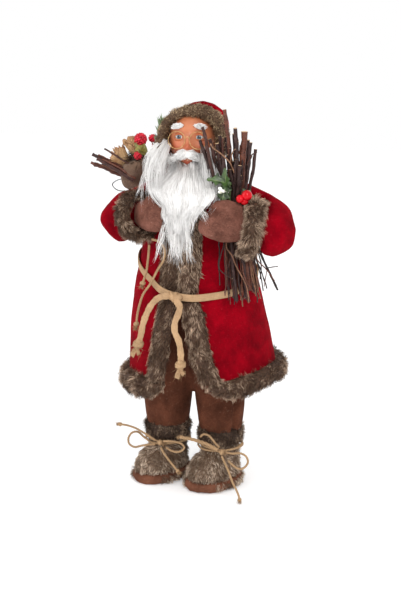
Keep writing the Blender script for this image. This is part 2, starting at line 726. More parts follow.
def spikes(lines, radii, tones):
    """Hairs along (hair, point) lines: three sides that run out to a tip. The tones of each hair
    are carried with how far along it each corner lies."""
    count, steps = lines.shape[:2]
    along = unit(lines[:, 1] - lines[:, 0])
    side = unit(np.cross(along, [0.31, 0.52, 0.79]))
    up = np.cross(along, side)
    rings = []
    for turned in THREE_SIDES:
        out_way = math.cos(turned) * side + math.sin(turned) * up
        rings.append(lines[:, :-1] + radii[:, :-1, None] * out_way[:, None])
    rings = np.stack(rings, axis=2).reshape(count, -1, 3)
    points = np.concatenate([rings, lines[:, -1:]], axis=1)
    per = points.shape[1]
    faces = [(2, 1, 0)]
    for k in range(steps - 2):
        for i in range(3):
            j = (i + 1) % 3
            faces.append((3 * k + i, 3 * k + j, 3 * k + 3 + j))
            faces.append((3 * k + i, 3 * k + 3 + j, 3 * k + 3 + i))
    last = 3 * (steps - 2)
    faces += [(last + i, last + (i + 1) % 3, per - 1) for i in range(3)]
    faces = (np.array(faces)[None] + per * np.arange(count)[:, None, None]).reshape(-1, 3)
    shares = np.concatenate([np.repeat(np.linspace(0, 1, steps)[:-1], 3), [1.0]])
    colours = np.ones((count, per, 4))
    colours[..., 0] = shares
    colours[..., 1:3] = tones[:, None]
    return points.reshape(-1, 3), faces, colours.reshape(-1, 4)


def toned_mesh(name, points, faces, tones):
    """A mesh whose corners carry the tones of their hair."""
    mesh = bpy.data.meshes.new(name)
    mesh.from_pydata(points.tolist(), [], faces)
    strand = mesh.color_attributes.new("strand", "FLOAT_COLOR", "POINT")
    strand.data.foreach_set("color", np.ravel(tones))
    return mesh


def haired(made, *growths):
    """A skin and the hair that grows on it as one piece."""
    skin = corners_of(made)
    faces = [tuple(face.vertices) for face in made.data.polygons]
    points, tones, start = [skin], [np.tile([0.0, 0.5, 0.5, 1.0], (len(skin), 1))], len(skin)
    for more, triangles, colours in growths:
        points.append(more)
        tones.append(colours)
        faces += (triangles + start).tolist()
        start += len(more)
    made.data = toned_mesh(made.name, np.vstack(points), faces, np.vstack(tones))
    return made


def tuft_of(roots, rng, spacing):
    """For each root, the number of the tuft that it belongs to, tufts being a spacing apart."""
    chosen = rng.permutation(len(roots))[: max(4, int(len(roots) * 0.5))]
    centres = []
    taken = set()
    for k in chosen:
        cell = tuple(np.floor(roots[k] / spacing).astype(int))
        if cell not in taken:
            taken.add(cell)
            centres.append(k)
    tree = kdtree.KDTree(len(centres))
    for i, k in enumerate(centres):
        tree.insert(roots[k], i)
    tree.balance()
    return np.array([centres[tree.find(p)[1]] for p in roots])


def pile_on(made, count, reach, lay, seed, keep=None, thick=0.0002, spacing=0.006, gather=0.25,
            stand=0.4, patch=(0.016, 0.016, 0.016), light=0.0):
    """Fur on a skin: lay gives the way that it is combed at each place. A short straight underfur
    fills in below the longer hairs, and light and dark patches run through both."""
    rng = np.random.default_rng(seed)
    roots, facing = scattered(made, count, rng, keep)
    tuft = tuft_of(roots, rng, spacing)
    combed = lay(roots, facing)
    combed = combed - facing * np.sum(combed * facing, axis=1, keepdims=True)
    swirl = 0.4 * rng.normal(size=(count, 3))[tuft]
    first = unit(stand * facing + combed + 0.2 * rng.normal(size=(count, 3)) + 0.5 * swirl)
    stray = 0.25 * rng.normal(size=(count, 3))
    then = unit(0.4 * stand * facing + 1.1 * combed + stray + 0.7 * swirl + [0, 0, -0.15])
    long = reach * (rng.uniform(0.7, 1.12, count) * rng.uniform(0.85, 1.1, count)[tuft])[:, None]
    middle = roots + 0.5 * long * first
    tips = middle + 0.5 * long * then
    shift = roots - roots[tuft]
    middle = middle * (1 - 0.35 * gather) + (middle[tuft] + 0.8 * shift) * 0.35 * gather
    tips = tips * (1 - gather) + (tips[tuft] + 0.3 * shift) * gather
    lines = np.stack([roots - facing * 0.0004, middle, tips], axis=1)
    lines[..., 2] = np.maximum(lines[..., 2], LOWEST)
    radii = np.array([1.0, 0.85, 0.0])[None] * thick * rng.uniform(0.7, 1.3, (count, 1))
    shift = Vector((seed * 4.3, seed * 2.9, seed * 1.1))
    cloudy = np.array([noise.noise(Vector(p) + shift) for p in roots / np.array(patch)])
    lighter = light(roots) if callable(light) else light
    shade = 0.5 + lighter + 1.1 * cloudy + 0.1 * rng.normal(size=count)
    shade = np.clip(shade + 0.1 * rng.normal(size=count)[tuft], 0, 1)
    tones = np.stack([rng.random(count), shade], axis=-1)
    under = int(count * 0.7)
    short = lines[:under, [0, 2]]
    short[:, 1] = short[:, 0] + rng.uniform(0.75, 1, (under, 1)) * (short[:, 1] - short[:, 0])
    return gathered_hair(spikes(short, radii[:under, [0, 2]], tones[:under]),
                         spikes(lines[under:], radii[under:], tones[under:]))


def gathered_hair(*growths):
    """Several growths of hair as one."""
    starts = np.cumsum([0] + [len(points) for points, _, _ in growths])
    return (np.vstack([points for points, _, _ in growths]),
            np.vstack([faces + start for (_, faces, _), start in zip(growths, starts)]),
            np.vstack([tones for _, _, tones in growths]))


# Vector noise starts from the clock unless it is given a seed
noise.seed_set(1)


def swirled(points, size, seed):
    """A smooth sideways wander for combing, from -1 to 1 in each direction."""
    shift = Vector((seed * 2.3, seed * 7.1, seed * 1.9))
    return np.array([noise.noise_vector(Vector(p) + shift) for p in points / size])


def strand_tones(tree):
    """The numbers that a hair or a stick carries, as three values."""
    strand = add(tree, "ShaderNodeAttribute", attribute_name="strand").outputs["Color"]
    return add(tree, "ShaderNodeSeparateColor", {"Color": strand}).outputs


# Pile: dark at the root, beige towards the tip, each hair and each patch of its own shade
pile_shades, given, out = group(
    "pile shades",
    [("Root", "NodeSocketColor", (0, 0, 0, 1)), ("Middle", "NodeSocketColor", (0.2, 0.2, 0.2, 1)),
     ("Tip", "NodeSocketColor", (0.5, 0.5, 0.5, 1)), ("Spread", "NodeSocketFloat", 1.0)],
    [("Colour", "NodeSocketColor")],
)
along, tint, patch = strand_tones(pile_shades)
above_root = between(pile_shades, along, 0.0, 0.4)
pale_patch = between(pile_shades, patch, 0.15, 0.85)
towards_tip = plus(pile_shades, along, times(pile_shades, pale_patch, 0.5))
pale_hair = between(pile_shades, tint, 0.25, 0.65, 0.12, 1.0)
at_tip = times(pile_shades, between(pile_shades, towards_tip, 0.55, 1.1), pale_hair)
skin_mottle = speckle(pile_shades, own_place(pile_shades), 800.0, 2.0)
mottling = between(pile_shades, skin_mottle, 0.4, 0.65, 0.0, 0.8)
mottled_root = blend(pile_shades, "MIX", mottling, given["Root"], given["Middle"])
mixed = blend(pile_shades, "MIX", above_root, mottled_root, given["Middle"])
mixed = blend(pile_shades, "MIX", at_tip, mixed, given["Tip"])
own = between(pile_shades, patch, 0.0, 0.7, 0.62, 1.12)
own = times(pile_shades, own, between(pile_shades, tint, 0.0, 1.0, 0.62, 1.3))
spread_of = {0: given["Spread"], 2: 1.0, 3: own}
own = add(pile_shades, "ShaderNodeMix", spread_of, data_type="FLOAT").outputs[0]
mixed = vector_sums(pile_shades, "SCALE", {0: mixed, "Scale": own})[0]
pile_shades.links.new(mixed, out["Colour"])


def pile_finish(name, root, middle, tip, roughness=0.7, spread=1.0):
    """Fur or hair in its own three shades, with more or less spread from hair to hair."""
    made, tree, shader = finish_of(name, roughness, {"Specular IOR Level": 0.25})
    shades = {"Root": paint(*root), "Middle": paint(*middle), "Tip": paint(*tip), "Spread": spread}
    node = add(tree, "ShaderNodeGroup", shades, node_tree=pile_shades)
    tree.links.new(node.outputs[0], shader.inputs["Base Color"])
    return made


coat_fur = pile_finish("coat fur", (44, 28, 20), (96, 69, 50), (216, 188, 162))


def coat_outward(points):
    """The way straight out of the coat at each place."""
    level = points - CENTRE - [0.004, 0, 0]
    return unit(level * [1, 1, 0])


def outer_side(points, facing):
    """Leaves the side that lies on the coat without pile."""
    return np.where(np.sum(facing * coat_outward(points), axis=1) > -0.15, 1.0, 0.0)


def round_the_coat(points):
    """The angle of a place round the coat, from its front towards the figure's left."""
    return np.arctan2(points[:, 0] - CENTRE[0], -(points[:, 1] - CENTRE[1]))


def hem_fur_hang(p):
    """The hem is lifted at the left side, where the skirt flares, and hangs at the right."""
    angle = np.degrees(round_the_coat(p))
    lifted = np.interp(angle, [-150, -80, -30, 0, 35, 80, 130, 180],
                       [0, -0.004, -0.001, 0, 0.002, 0.0125, 0.008, 0])
    return p + np.column_stack([0 * angle, 0 * angle, lifted])


def hem_light(p):
    """The hem is darker towards the figure's left, and one paler patch lies near its front."""
    angle = np.degrees(round_the_coat(p))
    return -0.1 - 0.1 * np.clip(angle / 40 - 0.8, 0, 1) + 0.12 * np.exp(-((angle - 17) / 9) ** 2)


hem = soft_copy("hem_trim", "hem_fur", 0.0031, 4, -0.0012)
reshape(hem, hem_fur_hang)
hem_combed = lambda p, n: np.array([0, 0, -0.55]) + 0.7 * swirled(p, 0.04, 1)
hem_keep = lambda p, n: np.maximum(outer_side(p, n), n[:, 2] < -0.4)
haired(hem, pile_on(hem, 16500, 0.0088, hem_combed, 1, hem_keep, 0.00022, stand=0.22, light=hem_light))
dressed(hem, coat_fur, "brown_fur", "hem_trim")


def under_belt(points):
    """How much the belt presses the pile flat: 1 under it, 0 away from it."""
    return np.exp(-(((points[:, 2] - 0.2465) / 0.0055) ** 4))


# Each edge binding: how light its pile is, and how far it stands aside, at heights in metres
TRIMS = (
    ("front_trim_right", -1, 2, ([0.14, 0.25, 0.3], [-0.14, -0.16, -0.26]),
     ([0.15, 0.17, 0.2, 0.23, 0.26], [-0.001, -0.003, -0.0025, 0.0, 0.001])),
    ("front_trim_left", 1, 3, ([0.14, 0.19, 0.225, 0.25], [0.06, 0.02, 0.24, 0.6]),
     ([0.14, 0.165, 0.19, 0.23, 0.25, 0.28], [0, -0.0015, -0.0032, -0.0032, -0.0055, -0.004])),
)
for node, way, seed, lights, moves in TRIMS:
    trim = soft_copy(node, node + "_fur", 0.0027, 3, -0.0004)
    shifted = lambda p: np.interp(p[:, 2:], *moves) * [1, 0, 0]
    reshape(trim, lambda p: p - 0.0024 * under_belt(p)[:, None] * coat_outward(p) + shifted(p))
    combed = lambda p, n: np.array([0.28 * way, 0, -0.8]) + 0.4 * swirled(p, 0.03, seed)
    bare = lambda p, n: outer_side(p, n) * (1 - 0.93 * under_belt(p))
    light = lambda p: np.interp(p[:, 2], *lights)
    haired(trim, pile_on(trim, 6700, 0.0085, combed, seed, bare, 0.00022, stand=0.28,
                         patch=(0.008, 0.008, 0.026), light=light))
    dressed(trim, coat_fur, "brown_fur", node)


# The belt: the same tape passed round the waist, over the fur, and tied in front. The turns of the
# knot press into the pile.
BELT = np.array([[0, 246], [0.125, 248], [0.25, 262], [0.5, 275], [0.75, 283], [0.875, 266], [1, 246]])
KNOT_AT = in_figure([1, -73, 247])

belt_turn = np.linspace(0, 2 * math.pi, 320, endpoint=False)
steps = np.linspace(-0.04, 0.04, 9)
height = sum(np.interp((belt_turn / 2 / math.pi + step) % 1, *BELT.T) for step in steps) / 9000
beside = np.sin(belt_turn) * along_table(COAT, 1, height) - 0.003
over_fur = np.where(np.cos(belt_turn) > 0, np.exp(-((beside / 0.031) ** 4)), 0)
belt_line = on_coat(belt_turn, height, 0.0018 + 0.0088 * over_fur)
outward = np.stack([np.sin(belt_turn), -np.cos(belt_turn), 0 * belt_turn], axis=-1)
band_body = lay_tape(belt_line, outward, TAPE_WIDE * 0.95, TAPE_THICK, 3, True)


def knot_turn(at, axis, reach, deep, wide, lean):
    """One turn of tape round a knot, flat side in."""
    angle = np.linspace(0, 2 * math.pi, 40, endpoint=False)
    axis = unit(np.array(axis, dtype=float))
    side = unit(np.cross(axis, [0, 1, 0.05]))
    front = np.cross(axis, side)
    ring_out = np.cos(angle)[:, None] * side * reach + np.sin(angle)[:, None] * front * deep
    line = at + ring_out + axis * (lean * np.sin(angle))[:, None]
    ring_side, ring_up = square_to(line, unit(ring_out), True)
    return sweep(line, ring_side, ring_up, flat_section(40, wide, TAPE_THICK * 0.8), True)


knot_bodies = [
    knot_turn(KNOT_AT + [0, 0.001, 0], (1, 0, 0.15), 0.0052, 0.0050, 0.0072, 0.0),
    knot_turn(KNOT_AT + [-0.003, 0, 0.0006], (0.75, 0, 0.7), 0.0050, 0.0044, 0.0062, 0.0015),
    knot_turn(KNOT_AT + [0.004, -0.0005, -0.001], (0.7, 0, -0.75), 0.0048, 0.0042, 0.0058, -0.0015),
]
for start, end in (((-4, -76, 249), (-12, -78.4, 248.4)), ((3, -76.5, 246), (10.2, -80, 238.5))):
    halfway = ((start[0] + end[0]) / 2, -79.5, (start[2] + end[2]) / 2 + 0.8)
    stub = smooth_route([start, halfway, end], 0.001)
    knot_bodies.append(lay_tape(stub, FACE_ON, TAPE_WIDE * 0.85, TAPE_THICK, 4))
core = smooth_route([(-7, -73, 247), (1, -73, 247), (9, -73, 247)], 0.001)
swell = 0.0044 * np.sin(np.linspace(0.35, math.pi - 0.35, len(core))) ** 0.6
knot_bodies.append(tube(core, 12, swell))
belt = new_piece("belt_tape", *gathered(band_body, *knot_bodies))
dressed(belt, tape_finish, "jute", "belt")


# Trousers: dark brown felt legs, stuffed, with soft upright folds where they are gathered into the
# fur at the ankle.
CLOTH_STEPS = 20
CLOTH_MASS = 0.3
PRESSURE = 4.0


def stuffed(made, cap):
    """Lets the filling swell a soft skin by cloth simulation, no point further than a cap."""
    before = corners_of(made)
    bpy.context.view_layer.objects.active = made
    cloth = made.modifiers.new("filling", "CLOTH")
    cloth.settings.quality = 5
    cloth.settings.mass = CLOTH_MASS
    cloth.settings.use_pressure = True
    cloth.settings.uniform_pressure_force = PRESSURE
    cloth.settings.effector_weights.gravity = 0
    cloth.collision_settings.use_collision = False
    for step in range(1, CLOTH_STEPS + 1):
        bpy.context.scene.frame_set(step)
    bpy.ops.object.modifier_apply(modifier="filling")
    bpy.context.scene.frame_set(1)
    gone = corners_of(made) - before
    far = np.linalg.norm(gone, axis=1, keepdims=True)
    reshape(made, lambda p: before + gone * np.minimum(1, cap / np.maximum(far, 1e-9)))


def creased(made, size, depth, seed, stretch=(1, 1, 1), where=None):
    """Soft creases pressed into a skin: narrow valleys between full swells."""
    p = corners_of(made)
    shift = Vector((seed * 1.3, seed * 4.1, seed * 2.7))
    scaled = p * np.array(stretch) / size
    height = np.array([1 - 2.2 * abs(noise.noise(Vector(q) + shift)) for q in scaled])
    amount = depth * (height - 0.45) * (1 if where is None else where(p))
    reshape(made, lambda q: q + normals_of(made) * amount[:, None])


def leg_fill(p):
    """The legs keep their width down into the boots, and the left one has a pinched seam outside."""
    left_leg, right_leg = p - CENTRE - [0.031, 0, 0], p - CENTRE - [-0.0375, 0, 0]
    out_way = np.where(p[:, :1] > CENTRE[0] - 0.003, left_leg, right_leg) * [1, 1, 0]
    reach = np.linalg.norm(out_way, axis=1)
    wanted = np.interp(p[:, 2], [0.052, 0.06, 0.068, 0.08, 0.1, 0.12],
                       [0.018, 0.0228, 0.025, 0.0272, 0.0292, 0.03])
    share = np.clip((0.12 - p[:, 2]) / 0.025, 0, 1) * (reach > 0.008)
    grown = (wanted - reach) * share * np.where(wanted > reach, 1.0, 0.8)
    turned = np.degrees(np.arctan2(out_way[:, 0], -out_way[:, 1]))
    seam = 1.6 * np.where(p[:, 0] > CENTRE[0], np.exp(-(((turned - 58) / 6) ** 2)), 0)
    seam = seam * np.clip((0.16 - p[:, 2]) / 0.05, 0, 1)
    return p + unit(out_way) * (grown - 0.003 * seam)[:, None]


trousers = soft_copy("trousers", "trousers_felt", 0.0033, 6, 0.0004)
stuffed(trousers, 0.0022)
near_ankle = lambda p: np.clip(1.2 - np.abs(p[:, 2] - 0.078) / 0.035, 0.1, 1)
creased(trousers, 0.017, 0.0016, 5, (1, 1, 0.2), near_ankle)
creased(trousers, 0.03, 0.0010, 6, (1, 1, 0.4))
reshape(trousers, leg_fill)
brown_felt = felt_finish("brown felt", (94, 55, 40), (62, 35, 25), 0.7, (156, 122, 102))
dressed(trousers, brown_felt, "dark_felt", "trousers")


# Boots: a padded felt sole, a fur upper drawn over a round last, a fur band at the ankle, and
# twine knotted over the join in a bow.
sole_felt = felt_finish("sole felt", (112, 72, 55), (84, 52, 39), 0.7, (170, 134, 114))
boot_fur = pile_finish("boot fur", (64, 46, 34), (134, 108, 86), (240, 220, 198))
ankle_fur = pile_finish("ankle fur", (38, 25, 18), (84, 62, 47), (190, 164, 138))
BOOTS = (
    ("right", -37.5, (-42, -24), [-35.4, -32, 51.3], (-42.5, -9), (-17, -76)),
    ("left", 31, (27, -26), [46, -39, 52.8], (26.5, -11), (-15, -78)),
)
TIE_REACH = 0.0272
TIE_HEIGHT = 0.049

for seed, (name, leg, crest, knot_place, foot, toe_way) in enumerate(BOOTS):
    sole = soft_copy("sole_" + name, f"sole_{name}_felt", 0.0018, 3, 0.0003)
    stuffed(sole, 0.0008)
    creased(sole, 0.016, 0.0006, 31 + seed)
    reshape(sole, lambda p: p * [1, 1, 0] + np.maximum(p, 0) * [0, 0, 1])
    dressed(sole, sole_felt, "sole_felt", "sole_" + name)

    boot = soft_copy("boot_" + name, f"boot_{name}_fur", 0.0022, 6, -0.0006)
    top = in_figure([*crest, 52])
    combed = lambda p, n: (0.75 * unit((p - top) * [1, 1, 0.5]) + [0, 0, -0.35]
                           + 0.45 * swirled(p, 0.02, 40 + seed))
    above_sole = lambda p, n: np.where(n[:, 2] < -0.8, 0, 1.0)
    upper = pile_on(boot, 8400, 0.0066, combed, 40 + seed, above_sole, 0.00021, spacing=0.004,
                    stand=0.3, patch=(0.013, 0.013, 0.013), light=0.12)
    foot_middle = in_figure([*foot, 0])
    toe = unit(np.array([*toe_way, 0.0]))
    off_toe = lambda p: unit((p - foot_middle) * [1, 1, 0]) @ toe < 0.84
    beside_toe = lambda p, n: ((np.abs(n[:, 2]) < 0.7) & off_toe(p)).astype(float)
    skirt = pile_on(sole, 1700, 0.0075, lambda p, n: n + [0, 0, -0.5], 44 + seed, beside_toe,
                    0.00024, stand=0.6, light=-0.05)
    haired(boot, upper, skirt)
    dressed(boot, boot_fur, "brown_fur", "boot_" + name)

    cuff = soft_copy("boot_cuff_" + name, f"boot_cuff_{name}_fur", 0.002, 4, -0.0008)
    axis = in_figure([leg, 0, 62.8])
    out_of_leg = lambda p: unit((p - axis) * [1, 1, 0])
    combed = lambda p, n: (0.35 * out_of_leg(p) + [0, 0, 0.25] * np.sign(p[:, 2:] - 0.0628)
                           + [0, 0, -0.25] + 0.6 * swirled(p, 0.015, 50 + seed))
    outer = lambda p, n: np.where(np.sum(n * out_of_leg(p), axis=1) > -0.45, 1.0, 0)
    haired(cuff, pile_on(cuff, 4000, 0.0072, combed, 50 + seed, outer, 0.00024))
    dressed(cuff, ankle_fur, "brown_fur", "boot_cuff_" + name)

    angle = np.linspace(0, 2 * math.pi, 120)
    ankle = in_figure([leg, 0, 0])
    rings = []
    for lift, lean, ring_reach in ((0, 0.0012, 0.0), (0.0021, -0.0012, -0.0008)):
        reach = TIE_REACH + ring_reach
        height = TIE_HEIGHT - 0.001 + lift + lean * np.sin(2 * angle)
        line = ankle + np.stack([reach * np.sin(angle), -reach * np.cos(angle), height], axis=-1)
        rings.append(lay_twine(line, 0.0026, 60 + seed, True))
    at = in_figure(knot_place)
    lump = overhand(at, (1, 0.2, -0.3), 0.0036, 0.0025, 62 + seed)
    neck = smooth_route([(leg, 1 - TIE_REACH * 1000, TIE_HEIGHT * 1000), knot_place], 0.0008)
    tied = gathered(*rings, lump, lay_twine(neck, 0.003, 64 + seed))
    tie = new_piece(f"boot_tie_{name}_twine", *tied)
    dressed(tie, twine_finish, "jute", "boot_tie_" + name)


# Sleeves: red felt tubes, stuffed full, bent at the elbow so that the felt puckers, and closed by
# the fur cuffs. The mittens are brown felt, padded, with the thumb sewn on.
mitten_felt = felt_finish("mitten felt", (124, 82, 70), (84, 52, 43), 1.0, (180, 146, 130))
ARMS = (
    ("right", [-51, -50, 332], [0.8, -0.58, 0.1], [-85, -20, 319], [-98, -20, 338], -0.0085, -0.2, 0.0),
    ("left", [85, -57, 330], [-0.94, -0.34, 0], [104, -40, 320], [109, -30, 345], 0.0125, 0.28, 0.2),
)


def thumb_line(p, facing):
    """The left thumb lies along the twigs: the felt is cut away above it and sewn in below it."""
    slope = np.array([0.33, -0.91, 0.26])
    seen = p + slope * ((-0.085 - p[:, 1:2]) / slope[1])
    low, high = np.array([0.038, 0.3385]), np.array([0.063, 0.3655])
    across = np.array([high[1] - low[1], low[0] - high[0]])
    across = -across / np.linalg.norm(across)
    over = np.maximum((seen[:, ::2] - low) @ across, 0)
    over = over * over / (over + 0.003)
    p = p - over[:, None] * [across[0], 0, across[1]]
    start, end = np.array([0.0405, 0.3408]), np.array([0.0625, 0.3488])
    share = np.clip((seen[:, ::2] - start) @ (end - start) / np.sum((end - start) ** 2), 0, 1)
    gone = np.linalg.norm(seen[:, ::2] - start - share[:, None] * (end - start), axis=1)
    front = np.clip(facing @ slope + 0.1, 0, 1) * (1 - 0.8 * share)
    return p - (0.0042 * np.exp(-((gone / 0.0022) ** 2)) * front)[:, None] * slope


for seed, (name, cuff_place, cuff_axis, elbow, fold, full, light, lean) in enumerate(ARMS):
    sleeve = soft_copy("sleeve_" + name, f"sleeve_{name}_felt", 0.0042, 6, 0.0008)
    stuffed(sleeve, 0.0025)
    bend = in_figure(elbow)
    near = lambda p: np.clip(1.3 - np.linalg.norm(p - bend, axis=1) / 0.05, 0.1, 1)
    creased(sleeve, 0.03, 0.0044, 71 + seed, (1, 1, 0.7), near)
    creased(sleeve, 0.05, 0.002, 73 + seed)
    near_fold = lambda p: np.exp(-((np.linalg.norm(p - np.array(fold) / 1000, axis=1) / 0.026) ** 2))
    reshape(sleeve, lambda p: p + near_fold(p)[:, None] * [full, 0, 0.0015])
    take_modifier(sleeve, "SUBSURF", levels=1, render_levels=1)
    dressed(sleeve, red_felt, "red_felt", "sleeve_" + name)

    mitten = soft_copy("mitten_" + name, f"mitten_{name}_felt", 0.002, 6, 0.0006)
    stuffed(mitten, 0.0015)
    creased(mitten, 0.03, 0.0012, 75 + seed)
    middle = corners_of(mitten).mean(axis=0)
    if name == "right":
        reshape(mitten, lambda p: middle + (p - middle) * [0.97, 1, 0.86] + [0.0015, 0, 0])
    else:
        reshape(mitten, lambda p: middle + (p - middle) * [1.03, 1, 0.92] + [0.001, 0, 0.0012])
        take_modifier(mitten, "SUBSURF", levels=1, render_levels=1)
        reshape(mitten, lambda p: thumb_line(p, normals_of(mitten)))
    dressed(mitten, mitten_felt, "mitten_felt", "mitten_" + name)

    cuff = soft_copy("cuff_" + name, f"cuff_{name}_fur", 0.0022, 4, -0.0012)
    axis = unit(np.array(cuff_axis))
    centre = in_figure(cuff_place)
    combed = lambda p, n: (0.5 * axis * np.sign((p - centre) @ axis)[:, None] * 0.6 + [0, 0, -0.45]
                           + 0.6 * swirled(p, 0.02, 80 + seed))
    reshape(cuff, lambda p: p + (p[:, 2:] - centre[2]) * [lean, 0, 0])
    if name == "right":
        reshape(cuff, lambda p: p + np.clip((p[:, 2:] - centre[2]) / 0.03, 0, 1) * [-0.0045, 0, 0.004])
    haired(cuff, pile_on(cuff, 7000, 0.0098, combed, 80 + seed, None, 0.00022, gather=0.45,
                         stand=0.5, light=light))
    dressed(cuff, coat_fur, "brown_fur", "cuff_" + name)


# Head: a smooth moulded face of warm tan, with set-in glass eyes, low wire spectacles, and a
# brow, moustache and beard of white hair glued on in locks.
HEAD_MIDDLE = in_figure([-1, -8, 419])
HEAD_TURN = Matrix.Rotation(math.radians(10), 3, "Z") @ Matrix.Rotation(math.radians(-7), 3, "X")
HEAD_AXES = np.array(HEAD_TURN)
HEAD_WIDE, HEAD_DEEP, HEAD_HIGH = 28.0, 29.0, 34.0
EYE_APART, EYE_BACK, EYE_HEIGHT, EYE_RADIUS = 11.5, -22.6, 1.0, 4.6
# The features: how far beside and above the middle, their half width and height, and their rise
FEATURES = (
    (0, -9.5, 5.2, 5.6, 5.2), (0, -11, 3.8, 3.2, 3.4), (0, -2, 3.0, 7.0, 2.6),
    (4.6, -12, 2.4, 2.4, 2.8), (11.5, 1, 6.6, 4.8, -3.2), (15.5, -11, 7.0, 6.0, 2.7),
    (10, 10.5, 9, 3.6, 1.8), (0, 19, 14, 8, 0.8), (0, -25.4, 7, 1.4, 1.5),
    (0, -29.0, 5.5, 1.8, 2.4), (0, -27.2, 6.5, 0.6, -0.9), (0, -19.5, 1.1, 2.2, -0.5),
    (0, -25, 12, 9, 7.5), (13.5, -6.2, 4.5, 1.2, -0.6), (9.5, -17.5, 1.6, 5.0, -0.7),
)


def on_head(p):
    """Places on the head's own axes, in millimetres, put in the figure."""
    return np.asarray(p, dtype=float) / 1000 @ HEAD_AXES.T + HEAD_MIDDLE


def face_place(p):
    x, y, z = p.T
    level = np.hypot(x, y)
    angle = np.arctan2(x, -y)
    eased = angle - 0.5 * np.sin(angle)
    jaw = np.where(z < 0, 1 - 0.16 * z * z, 1)
    wide = HEAD_WIDE * jaw * level * np.sin(eased)
    deep = -HEAD_DEEP * jaw * level * np.cos(eased)
    high = HEAD_HIGH * z
    raised = sum(out_by * np.exp(-(((np.abs(wide) - beside) / w) ** 2) - ((high - above) / h) ** 2)
                 for beside, above, w, h, out_by in FEATURES)
    front = np.clip(-deep / 6, 0, 1)
    return on_head(np.stack([wide, deep - raised * front, high], axis=-1))


bpy.ops.mesh.primitive_uv_sphere_add(segments=104, ring_count=74, radius=1)
head = called("head_face")
reshape(head, face_place)
bpy.ops.object.select_all(action="DESELECT")


def shell(front, back):
    """Two grids of points as the two faces of one thin closed skin, with its own lengths laid on."""
    rows, columns = front.shape[:2]
    count = rows * columns
    index = np.arange(count).reshape(rows, columns)
    quads = np.stack([index[:-1, :-1], index[:-1, 1:], index[1:, 1:], index[1:, :-1]], -1)
    quads = quads.reshape(-1, 4)
    rim = np.concatenate([index[0], index[1:, -1], index[-1, ::-1][1:], index[::-1, 0][1:-1]])
    then = np.roll(rim, -1)
    walls = np.stack([then, rim, rim + count, then + count], -1)
    faces = np.vstack([quads, quads[:, ::-1] + count, walls])
    spread = np.meshgrid(np.linspace(0, 1, rows), np.linspace(-1, 1, columns), indexing="ij")
    spread = np.stack(spread, -1).reshape(-1, 2)
    points = np.vstack([front.reshape(-1, 3), back.reshape(-1, 3)])
    return points, faces.tolist(), np.vstack([spread, spread])[faces.ravel()]


# The lids are thin shells over each eye, and the neck runs down into the collar
lids = []
for hand in (-1, 1):
    for upper in (1, -1):
        rows, columns = np.meshgrid(np.linspace(0, 1, 9), np.linspace(-1, 1, 25), indexing="ij")
        margin = (0.5 if upper > 0 else -0.5) * np.cos(columns * 1.45) ** 0.8
        tilt = margin + (1.35 * upper - margin) * rows
        grids = []
        for reach in (EYE_RADIUS + 0.75, EYE_RADIUS + 0.12):
            x = hand * EYE_APART + reach * 1.12 * np.sin(columns * 1.28)
            y = EYE_BACK - reach * np.cos(columns * 1.28) * np.cos(tilt)
            z = EYE_HEIGHT + reach * np.sin(tilt) * np.cos(columns * 1.15)
            grids.append(on_head(np.stack([x, y, z], axis=-1)))
        lids.append(shell(*grids))
neck_line = smooth_route([(0, -2, 379), (0, -2, 390), (0, -2, 402)], 0.002)
extras = new_piece("head_extras", *gathered(*lids, tube(neck_line, 40, 0.017)))
tidy_mesh(extras, 0.000001)
head.select_set(True)
extras.select_set(True)
bpy.context.view_layer.objects.active = head
bpy.ops.object.join()
bpy.ops.object.select_all(action="DESELECT")

skin, tree, shader = finish_of("painted skin", 0.42, {
    "Specular IOR Level": 0.4, "Coat Weight": 0.12, "Coat Roughness": 0.3,
})
where = own_place(tree)
mottle = speckle(tree, where, 90.0, 3.0)
tone = ramp(tree, mottle, (0.3, paint(166, 94, 60)), (0.7, paint(196, 122, 84)))


def gap_to(tree, where, spot):
    """How far a point is from a place on the head's own axes, in metres."""
    return vector_sums(tree, "DISTANCE", {0: where, 1: tuple(on_head(spot).tolist())})["Value"]


def near_spots(tree, where, spots, reach):
    """How near a place is to the nearest of some spots, from 1 on it to 0 at its reach."""
    total = None
    for spot in spots:
        limits = {"Value": gap_to(tree, where, spot), "From Min": reach, "From Max": 0.0}
        share = add(tree, "ShaderNodeMapRange", limits, interpolation_type="SMOOTHSTEP").outputs[0]
        total = share if total is None else sums(tree, "MAXIMUM", total, share)
    return total


blush = near_spots(tree, where, [(-16, -24, -11), (16, -24, -11), (0, -38, -11)], 0.014)
tone = blend(tree, "MULTIPLY", times(tree, blush, 0.55), tone, paint(238, 150, 132))
hollow = near_spots(tree, where, [(-11.5, -25, 4.5), (11.5, -25, 4.5)], 0.0085)
tone = blend(tree, "MULTIPLY", times(tree, hollow, 0.5), tone, paint(196, 132, 100))
lips = near_spots(tree, where, [(-4.2, -23.0, -27.6), (0, -24.0, -28.6), (4.2, -23.0, -27.6)], 0.0052)
tone = blend(tree, "MIX", times(tree, lips, 0.8), tone, paint(198, 74, 66))
coloured(tree, shader, tone, mottle, 0.12, 0.0004)
dressed(head, skin, "skin", "head")

